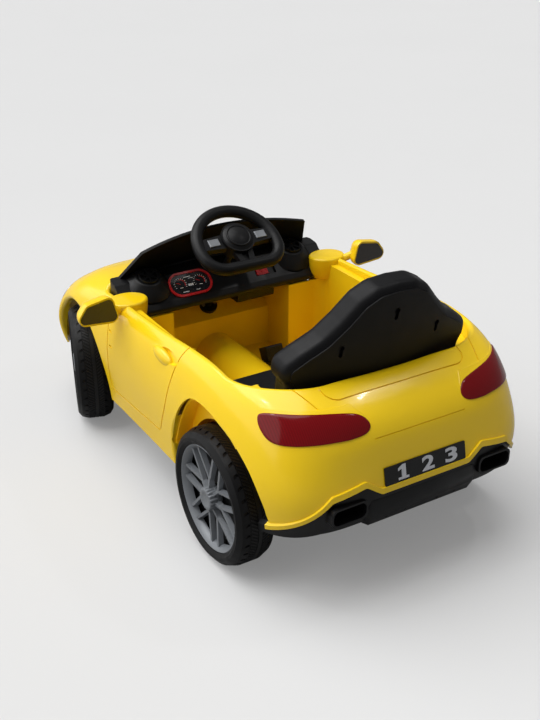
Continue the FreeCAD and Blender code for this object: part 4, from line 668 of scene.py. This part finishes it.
# Tyre tread
# Raised bars and a smooth middle rib moulded on each tyre between its shoulder slots.
# The bars are one slanted block spun round the wheel.
tread_radius = 0.110
tread_rise = 0.0007
tread_sink = 0.0012
tread_bar = 0.0030
tread_profile = ((-0.5, -tread_sink), (0.5, -tread_sink), (0.38, tread_rise), (-0.38, tread_rise))
tread_bands = (((0.0035, 0.0140), 0.0075, 112), ((-0.0150, -0.0060), -0.0065, 112))
rib_low, rib_high = (-0.0042, 0.0016)
rib_profile = (
    (rib_low, -tread_sink), (rib_low, tread_rise), (rib_high, tread_rise), (rib_high, -tread_sink),
)
rib_steps = 120
tread_plastic = moulded_finish(
    "tread_plastic", *tyre_tones, gloss=(0.34, 0.5), flow=8.0, peel=700.0, relief=0.12, shine=0.3
)

spin_copies = bpy.data.node_groups.new("spin_copies", "GeometryNodeTree")
spin_copies.interface.new_socket("Geometry", in_out="OUTPUT", socket_type="NodeSocketGeometry")
spin_sockets = {}
for title, kind in (
    ("Geometry", "NodeSocketGeometry"), ("Count", "NodeSocketInt"), ("Start", "NodeSocketFloat"),
    ("Step", "NodeSocketFloat"), ("Material", "NodeSocketMaterial"),
):
    spin_socket = spin_copies.interface.new_socket(title, in_out="INPUT", socket_type=kind)
    spin_sockets[title] = spin_socket.identifier
spin_in = spin_copies.nodes.new("NodeGroupInput")
spin_line = spin_copies.nodes.new("GeometryNodeMeshLine")
spin_line.inputs["Offset"].default_value = (0, 0, 0)
spin_copies.links.new(spin_in.outputs["Count"], spin_line.inputs["Count"])
spin_index = spin_copies.nodes.new("GeometryNodeInputIndex").outputs["Index"]
spin_angle = add_sum(spin_copies, "MULTIPLY", spin_index, spin_in.outputs["Step"])
spin_angle = add_sum(spin_copies, "ADD", spin_angle, spin_in.outputs["Start"])
spin_turn = spin_copies.nodes.new("ShaderNodeCombineXYZ")
spin_copies.links.new(spin_angle, spin_turn.inputs["Z"])
spin_rotation = spin_copies.nodes.new("FunctionNodeEulerToRotation")
spin_copies.links.new(spin_turn.outputs["Vector"], spin_rotation.inputs["Euler"])
spin_each = spin_copies.nodes.new("GeometryNodeInstanceOnPoints")
spin_copies.links.new(spin_line.outputs["Mesh"], spin_each.inputs["Points"])
spin_copies.links.new(spin_in.outputs["Geometry"], spin_each.inputs["Instance"])
spin_copies.links.new(spin_rotation.outputs["Rotation"], spin_each.inputs["Rotation"])
spin_real = spin_copies.nodes.new("GeometryNodeRealizeInstances")
spin_copies.links.new(spin_each.outputs["Instances"], spin_real.inputs["Geometry"])
spin_paint = spin_copies.nodes.new("GeometryNodeSetMaterial")
spin_copies.links.new(spin_real.outputs["Geometry"], spin_paint.inputs["Geometry"])
spin_copies.links.new(spin_in.outputs["Material"], spin_paint.inputs["Material"])
spin_out = spin_copies.nodes.new("NodeGroupOutput")
spin_copies.links.new(spin_paint.outputs["Geometry"], spin_out.inputs["Geometry"])


def spun(form, count, start, step, material):
    """Mesh of a form repeated round the Z axis."""
    holder = add_object("one_copy", form_mesh(form, "one_copy"))
    turner = holder.modifiers.new("spin_copies", "NODES")
    turner.node_group = spin_copies
    for title, value in (("Count", count), ("Start", start), ("Step", step), ("Material", material)):
        turner[spin_sockets[title]] = value
    shown = holder.evaluated_get(bpy.context.evaluated_depsgraph_get())
    whole = bpy.data.meshes.new_from_object(shown)
    bpy.data.objects.remove(holder)
    return whole


def placing(right, up, out, origin):
    """Matrix that takes local X, Y, Z to three directions at an origin."""
    return Matrix.Translation(origin) @ Matrix((right, up, out)).transposed().to_4x4()


def turned(radius, turn, level=0.0):
    """Point of the wheel's own frame at a radius, turn and level."""
    return Vector((radius * math.cos(turn), radius * math.sin(turn), level))


tread_meshes = []
for (band_low, band_high), slant, count in tread_bands:
    bar_rings = []
    for along in (band_low, band_high):
        skew = slant * (along - band_low) / (band_high - band_low)
        bar_rings.append([
            turned(tread_radius + rise, (across * tread_bar + skew) / tread_radius, along)
            for across, rise in tread_profile
        ])
    tread_meshes.append(spun(ring_stack(bar_rings), count, 0.0, math.tau / count, tread_plastic))
rib_rings = []
for along, rise in rib_profile:
    rib_rings.append([turned(tread_radius + rise, turn, along) for turn in turns(rib_steps)])
tread_meshes.append(form_mesh(ring_stack(rib_rings, looped=True), "tread_rib"))
upward = Vector((0, 0, 1))
wheel_places = {}
for joint in frame["joints"]:
    wheel = joint["child"]
    if wheel.startswith("wheel_"):
        outward = Vector(joint["axis"]) * (1 if wheel.endswith("left") else -1)
        wheel_places[wheel] = placing(upward.cross(outward), upward, outward, Vector(joint["pos_m"]))
for wheel, wheel_place in wheel_places.items():
    tread_name = "tread_" + wheel.removeprefix("wheel_")
    dressed(tread_name, gathered(tread_meshes, wheel_place), tread_plastic, wheel)


# Wheel caps
# Grey painted cap with seven split spokes, a sloped rim and a ribbed boss.
# It is pressed into the outer recess of each tyre, whose black web shows between the spokes.
cap_rim = (
    (0.0867, 0.0150), (0.0867, 0.0280), (0.0857, 0.0288), (0.0843, 0.0283), (0.0785, 0.0195),
    (0.0775, 0.0150),
)
cap_start = math.radians(-4.714)
cap_count = 7
cap_root = 0.0160
cap_knee = 0.0330
cap_overlap = 0.003
cap_end = 0.0825
cap_fork = math.radians(18.3)
cap_crests = (0.0250, 0.0212, 0.0236)
cap_steps = 180
spoke_foot = 0.0085
spoke_crest = 0.0048
spoke_under = 0.0150
boss_ribs = 18
boss_rib_share = 0.05
boss_profile = (
    (0.0010, 0.0176, 0), (0.0148, 0.0176, 0), (0.0150, 0.0120, 0), (0.0188, 0.0120, 0),
    (0.0188, 0.0180, 0), (0.0181, 0.0186, 1), (0.0178, 0.0300, 1), (0.0171, 0.0316, 0.4),
    (0.0160, 0.0322, 0), (0.0112, 0.0322, 0), (0.0100, 0.0312, 0), (0.0015, 0.0312, 0),
)


def spoke_bar(start, end, crests):
    """Mesh of a roof-shaped bar between two points of the cap's plane."""
    along = (end - start).normalized()
    across = Vector((-along.y, along.x, 0)) / 2
    rings = []
    for point, crest in zip((start, end), crests):
        seat = point + Vector((0, 0, spoke_under))
        top = point + Vector((0, 0, crest))
        rings.append([
            seat + across * spoke_foot, top + across * spoke_crest,
            top - across * spoke_crest, seat - across * spoke_foot,
        ])
    return spun(ring_stack(rings), cap_count, cap_start, math.tau / cap_count, cap_paint)


rim_rings = [[turned(radius, turn, level) for turn in turns(cap_steps)] for radius, level in cap_rim]
boss_rings = []
for radius, level, ribbed in boss_profile:
    boss_rings.append([
        turned(radius * (1 + boss_rib_share * ribbed * math.cos(boss_ribs * turn)), turn, level)
        for turn in turns(cap_steps)
    ])
cap_meshes = [form_mesh(ring_stack(rim_rings, looped=True)), form_mesh(ring_stack(boss_rings))]
cap_meshes.append(spoke_bar(turned(cap_root, 0), turned(cap_knee + cap_overlap, 0), cap_crests[:2]))
for way in (-1, 1):
    fork_end = turned(cap_end, way * cap_fork)
    cap_meshes.append(spoke_bar(turned(cap_knee - cap_overlap, 0), fork_end, cap_crests[1:]))
for wheel, wheel_place in wheel_places.items():
    corner = wheel.removeprefix("wheel_")
    cap = dressed("cap_" + corner, gathered(cap_meshes, wheel_place), cap_paint, wheel)
    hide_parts("hubcap_" + corner)


# Lights
# Finishes of the ribbed red tail lenses and of the silvery headlamp covers.
# The headlamps clip into openings in the yellow skin.
red_plastic = moulded_finish(
    "red_plastic", (0.125, 0.0009, 0.0023, 1), (0.175, 0.0014, 0.0035, 1),
    gloss=(0.11, 0.17), flow=9.0, peel=500.0, relief=0.05, shine=0.2, ribs=110.0,
    coat_weight=0.12, coat_roughness=0.06,
)
lamp_cover = moulded_finish(
    "lamp_cover", (0.52, 0.54, 0.57, 1), (0.66, 0.68, 0.70, 1),
    gloss=(0.08, 0.16), flow=14.0, peel=400.0, relief=0.04, coat_weight=0.8, metallic=0.4,
)
for piece in ("headlight_left", "headlight_right"):
    wear(piece, lamp_cover)


# Tail lenses
# Red moulded lenses with fine upright prisms, welded over the openings at the rear corners.
# A yellow filler closes what each opening leaves round its lens.
tail_outline = (
    (-0.0340, 0.2910), (-0.0370, 0.2970), (-0.0510, 0.3005), (-0.0790, 0.3020), (-0.1200, 0.3010),
    (-0.1540, 0.2980), (-0.1740, 0.2940), (-0.1860, 0.2870), (-0.1910, 0.2795), (-0.1860, 0.2730),
    (-0.1690, 0.2705), (-0.1420, 0.2705), (-0.1080, 0.2690), (-0.0810, 0.2670), (-0.0600, 0.2665),
    (-0.0470, 0.2710), (-0.0375, 0.2810),
)
tail_along, tail_level = (-0.112, 0.284)
tail_look_x, tail_look_y = (-0.8, 0.6)
tail_rings = (
    (0.06, 0.0010), (0.22, 0.0010), (0.38, 0.0010), (0.54, 0.0010), (0.68, 0.0010), (0.80, 0.0010),
    (0.89, 0.0010), (0.95, 0.0010), (0.985, 0.0008), (1.0, 0.0003), (1.0, -0.0030), (0.5, -0.0040),
    (0.06, -0.0040),
)
tail_filler_grow = (1.004, 1.015)
tail_filler_sink = 0.0003
tail_jitter = ((0, 0), (0.0012, 0), (-0.0012, 0), (0, 0.0012), (0, -0.0012))


def skin_tree(*names):
    """Ray tree over some frame nodes."""
    points, faces = [], []
    for name in names:
        first = len(points)
        points += [vertex.co.copy() for vertex in nodes[name].data.vertices]
        faces += [[first + index for index in face.vertices] for face in nodes[name].data.polygons]
    return BVHTree.FromPolygons(points, faces)


def skin_point(tree, across, look, along, level, rise):
    """Point at a height over the skin as seen along one direction."""
    depths = []
    for shift, lift in tail_jitter:
        start = across * (along + shift) + Vector((0, 0, level + lift)) + look
        hit = tree.ray_cast(start, -look)[0]
        if hit is not None:
            depths.append(hit.dot(look))
    return across * along + Vector((0, 0, level)) + look * (max(depths) + rise)


tail_curve = closed_curve(tail_outline)
for side_name, side in sides:
    tail_skin = skin_tree("body_shell", "tail_light_" + side_name)
    look = Vector((tail_look_x, tail_look_y * side, 0))
    across = Vector((tail_look_y, -tail_look_x * side, 0))
    rings = []
    for share, rise in tail_rings:
        ring = []
        for point in tail_curve:
            along = tail_along + (point.x - tail_along) * share
            level = tail_level + (point.y - tail_level) * share
            ring.append(skin_point(tail_skin, across, look, along, level, rise))
        rings.append(ring)
    lens = dressed("tail_lens_" + side_name, ring_stack(rings), red_plastic, "car")
    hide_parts("tail_light_" + side_name)
    low, high = (Vector(corner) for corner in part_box("tail_light_" + side_name))
    middle = (low + high) / 2
    filler_place = Matrix.Translation(middle - look * tail_filler_sink)
    filler_place = filler_place @ Matrix.Scale(tail_filler_grow[0], 4, across)
    filler_place = filler_place @ Matrix.Scale(tail_filler_grow[1], 4, upward) @ Matrix.Translation(-middle)
    filler_form = gathered([nodes["tail_light_" + side_name].data], filler_place)
    dressed("tail_filler_" + side_name, filler_form, yellow_plastic, "car")


# Steering hub ring
# Raised black ring moulded on the hub cap, round its flat middle.
hub_axis = Vector((-0.565528, 0, 0.824729))
hub_forward = Vector((0.824729, 0, 0.565528))
hub_middle = Vector((0.090, 0, 0.375))
hub_ring_radius = 0.0215
hub_ring_section = 0.0020
hub_ring_sides = 10
hub_ray_height = 0.2
hub_skin = skin_tree("steering_hub_cap")
hub_start = hub_middle + hub_forward * hub_ring_radius + hub_axis * hub_ray_height
hub_rise = (hub_skin.ray_cast(hub_start, -hub_axis)[0] - hub_middle).dot(hub_axis)
hub_rings = []
for turn in turns(ring_steps):
    spoke = hub_forward * math.cos(turn) + Vector((0, math.sin(turn), 0))
    seat = hub_middle + spoke * hub_ring_radius + hub_axis * hub_rise
    hub_rings.append([
        seat + (spoke * math.cos(roll) + hub_axis * math.sin(roll)) * hub_ring_section
        for roll in turns(hub_ring_sides)
    ])
dressed("hub_ring", ring_stack(hub_rings, looped=True), wheel_plastic, "steering")


# Mirrors
# Dark reflective film on a flat backing that nearly fills each yellow housing.
# It is glued over the housing's mouth.
mirror_grow = 1.09
mirror_step = -0.0046
mirror_film = moulded_finish(
    "mirror_film", (0.016, 0.012, 0.008, 1), (0.026, 0.019, 0.013, 1),
    gloss=(0.10, 0.18), flow=9.0, peel=300.0, relief=0.03, shine=0.4, coat_weight=0.3,
)
for side_name, side in sides:
    low, high = (Vector(corner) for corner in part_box("mirror_glass_" + side_name))
    middle = (low + high) / 2
    mirror_place = Matrix.Translation(middle + Vector((mirror_step, 0, 0)))
    mirror_place = mirror_place @ Matrix.Diagonal((1, mirror_grow, mirror_grow, 1))
    mirror_place = mirror_place @ Matrix.Translation(-middle)
    mirror_form = gathered([nodes["mirror_glass_" + side_name].data], mirror_place)
    mirror = dressed("mirror_face_" + side_name, mirror_form, mirror_film, "car")
    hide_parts("mirror_glass_" + side_name)


# Instruments and switch
# Red moulded bezel round a printed dial card, and a red rocker switch.
red_trim = moulded_finish(
    "red_trim", (0.42, 0.010, 0.012, 1), (0.52, 0.016, 0.016, 1),
    gloss=(0.24, 0.34), flow=12.0, peel=600.0, relief=0.05,
)
for piece in ("instrument_bezel", "power_switch"):
    wear(piece, red_trim)
dial_card = moulded_finish(
    "dial_card", (0.010, 0.010, 0.012, 1), (0.016, 0.016, 0.018, 1),
    gloss=(0.2, 0.3), flow=12.0, peel=800.0, relief=0.03,
)
wear("instrument_panel", dial_card)


# Dial print
# White and red marks printed on the card: two gauges, a readout and short bars.
# The print is generic, with no maker's words.
dial_middle = Vector((0.131, 0.074, 0.2955))
dial_slope = Vector((0.7356, 0, 0.6775))
dial_out = Vector((-0.6775, 0, 0.7356))
dial_lift = 0.00135
dial_ink = 0.0002
rightward = Vector((0, -1, 0))
gauge_places = (-0.0195, 0.0195)
gauge_rise = 0.0010
gauge_radius = 0.0130
tick_size = (0.0026, 0.0008)
tick_count = 13
tick_start = math.radians(-30)
tick_step = math.radians(20)
arc_radius = gauge_radius * 0.72
arc_dot = 0.0016
arc_count = 12
arc_start = math.radians(-20)
arc_step = math.radians(9)
hand_size = (gauge_radius * 0.6, 0.0010)
hand_turn = math.radians(150)
white_bars = (
    (-0.002, 0.0135, 0.0130, 0.0016), (0.004, 0.0100, 0.0100, 0.0010), (-0.0035, -0.0030, 0.0028, 0.0046),
    (0.0, -0.0030, 0.0028, 0.0046), (0.0035, -0.0030, 0.0028, 0.0046), (-0.0140, -0.0150, 0.0120, 0.0014),
    (0.0110, -0.0150, 0.0080, 0.0012), (-0.0195, -0.0060, 0.0060, 0.0012), (0.0195, -0.0060, 0.0060, 0.0012),
)
white_ink = moulded_finish(
    "white_ink", (0.60, 0.60, 0.61, 1), (0.72, 0.72, 0.73, 1),
    gloss=(0.34, 0.44), flow=60.0, peel=3000.0, relief=0.03,
)
red_ink = moulded_finish(
    "red_ink", (0.46, 0.012, 0.014, 1), (0.56, 0.02, 0.02, 1),
    gloss=(0.34, 0.44), flow=60.0, peel=3000.0, relief=0.03,
)


def flat_bar(x, y, width, height):
    """Thin printed bar round a middle point."""
    corners = [(x + sx * width / 2, y + sy * height / 2) for sx, sy in ((-1, -1), (1, -1), (1, 1), (-1, 1))]
    return ring_stack([[(a, b, level) for a, b in corners] for level in (0, dial_ink)])


dial_place = placing(rightward, dial_slope, dial_out, dial_middle + dial_out * dial_lift)
white_meshes = [form_mesh(flat_bar(*bar)) for bar in white_bars]
red_meshes = []
for gauge_x in gauge_places:
    tick = flat_bar(gauge_radius - tick_size[0] / 2, 0, *tick_size)
    ticks = spun(tick, tick_count, tick_start, tick_step, white_ink)
    arc = spun(flat_bar(arc_radius, 0, arc_dot, arc_dot), arc_count, arc_start, arc_step, red_ink)
    hand = form_mesh(flat_bar(hand_size[0] / 2, 0, *hand_size))
    hand.transform(Matrix.Rotation(hand_turn, 4, "Z"))
    for mesh in (ticks, arc, hand):
        mesh.transform(Matrix.Translation((gauge_x, gauge_rise, 0)))
    white_meshes.append(ticks)
    red_meshes += [arc, hand]
dressed("dial_white_print", gathered(white_meshes, dial_place), white_ink, "car")
dressed("dial_red_print", gathered(red_meshes, dial_place), red_ink, "car")


# Number plate
# Black printed label on a flat plate.
plate_card = moulded_finish(
    "plate_card", (0.004, 0.004, 0.0045, 1), (0.008, 0.008, 0.008, 1),
    gloss=(0.32, 0.42), flow=14.0, peel=800.0, relief=0.04, shine=0.3,
)
wear("number_plate", plate_card)


# Plate digits
# Pale grey digits printed on the plate, finely ribbed upright; the numbers are generic.
digit_height = 0.0225
digit_places = (("1", -0.041), ("2", 0.004), ("3", 0.047))
digit_widths = {"1": 0.0190, "2": 0.0225, "3": 0.0225}
digit_depth = 0.0001
digit_swell = 0.03
stroke_outline = (
    (0.05, 0), (0.95, 0), (0.95, 0.16), (0.70, 0.16), (0.70, 1), (0.42, 1), (0.05, 0.80), (0.05, 0.62),
    (0.34, 0.72), (0.34, 0.16), (0.05, 0.16),
)
plate_foot = Vector((-0.4577, 0, 0.191))
plate_slope = Vector((0.206, 0, 0.979))
plate_out = Vector((-0.979, 0, 0.206))
plate_middle_rise = 0.0143
plate_face = 0.0019
digit_ink = moulded_finish(
    "digit_ink", (0.44, 0.45, 0.48, 1), (0.66, 0.67, 0.70, 1),
    gloss=(0.34, 0.44), flow=60.0, peel=3000.0, relief=0.03, ribs=130.0,
)
digit_meshes = []
for digit, middle in digit_places:
    if digit == "1":
        stroke_rings = [[(x, y, level) for x, y in stroke_outline] for level in (-digit_depth, digit_depth)]
        digit_mesh = form_mesh(ring_stack(stroke_rings))
    else:
        digit_curve = bpy.data.curves.new("plate_digit", "FONT")
        digit_curve.body = digit
        digit_curve.offset = digit_swell
        digit_curve.extrude = digit_depth
        digit_holder = add_object("plate_digit", digit_curve)
        digit_mesh = bpy.data.meshes.new_from_object(digit_holder)
        bpy.data.objects.remove(digit_holder)
    across = [vertex.co.x for vertex in digit_mesh.vertices]
    upright = [vertex.co.y for vertex in digit_mesh.vertices]
    low = Vector((min(across), min(upright)))
    high = Vector((max(across), max(upright)))
    grow_x = digit_widths[digit] / (high.x - low.x)
    grow_y = digit_height / (high.y - low.y)
    digit_mesh.transform(Matrix.Translation((-(low.x + high.x) / 2, -(low.y + high.y) / 2, 0)))
    digit_mesh.transform(Matrix.Diagonal((grow_x, grow_y, 1, 1)))
    digit_mesh.transform(Matrix.Translation((middle, plate_middle_rise, 0)))
    digit_meshes.append(digit_mesh)
plate_place = placing(rightward, plate_slope, plate_out, plate_foot + plate_out * plate_face)
dressed("plate_digits", gathered(digit_meshes, plate_place), digit_ink, "car")


# Steel running gear
# Zinc-plated beam, tie rod, knuckles, axle, nuts, washers and screws.
zinc = moulded_finish(
    "zinc_plate", (0.42, 0.43, 0.44, 1), (0.55, 0.55, 0.55, 1),
    gloss=(0.3, 0.48), flow=30.0, peel=1500.0, relief=0.08, metallic=1.0,
)
for piece in (
    "front_beam", "tie_rod", "knuckle_left", "knuckle_right", "rear_axle", "axle_nuts_rear",
    "axle_washers_rear", "axle_nut_front_left", "axle_nut_front_right", "column_bush_screws",
    "front_beam_screws",
):
    wear(piece, zinc)


# Battery and motor
# A sealed battery in a dark case and a steel motor can, both under the seat.
battery_case = moulded_finish(
    "battery_case", (0.05, 0.055, 0.07, 1), (0.07, 0.075, 0.09, 1),
    gloss=(0.4, 0.5), flow=12.0, peel=900.0, relief=0.08,
)
wear("battery", battery_case)
motor_can = moulded_finish(
    "motor_can", (0.24, 0.25, 0.26, 1), (0.32, 0.33, 0.34, 1),
    gloss=(0.32, 0.44), flow=16.0, peel=1200.0, relief=0.06, metallic=0.8,
)
wear("drive_motor", motor_can)
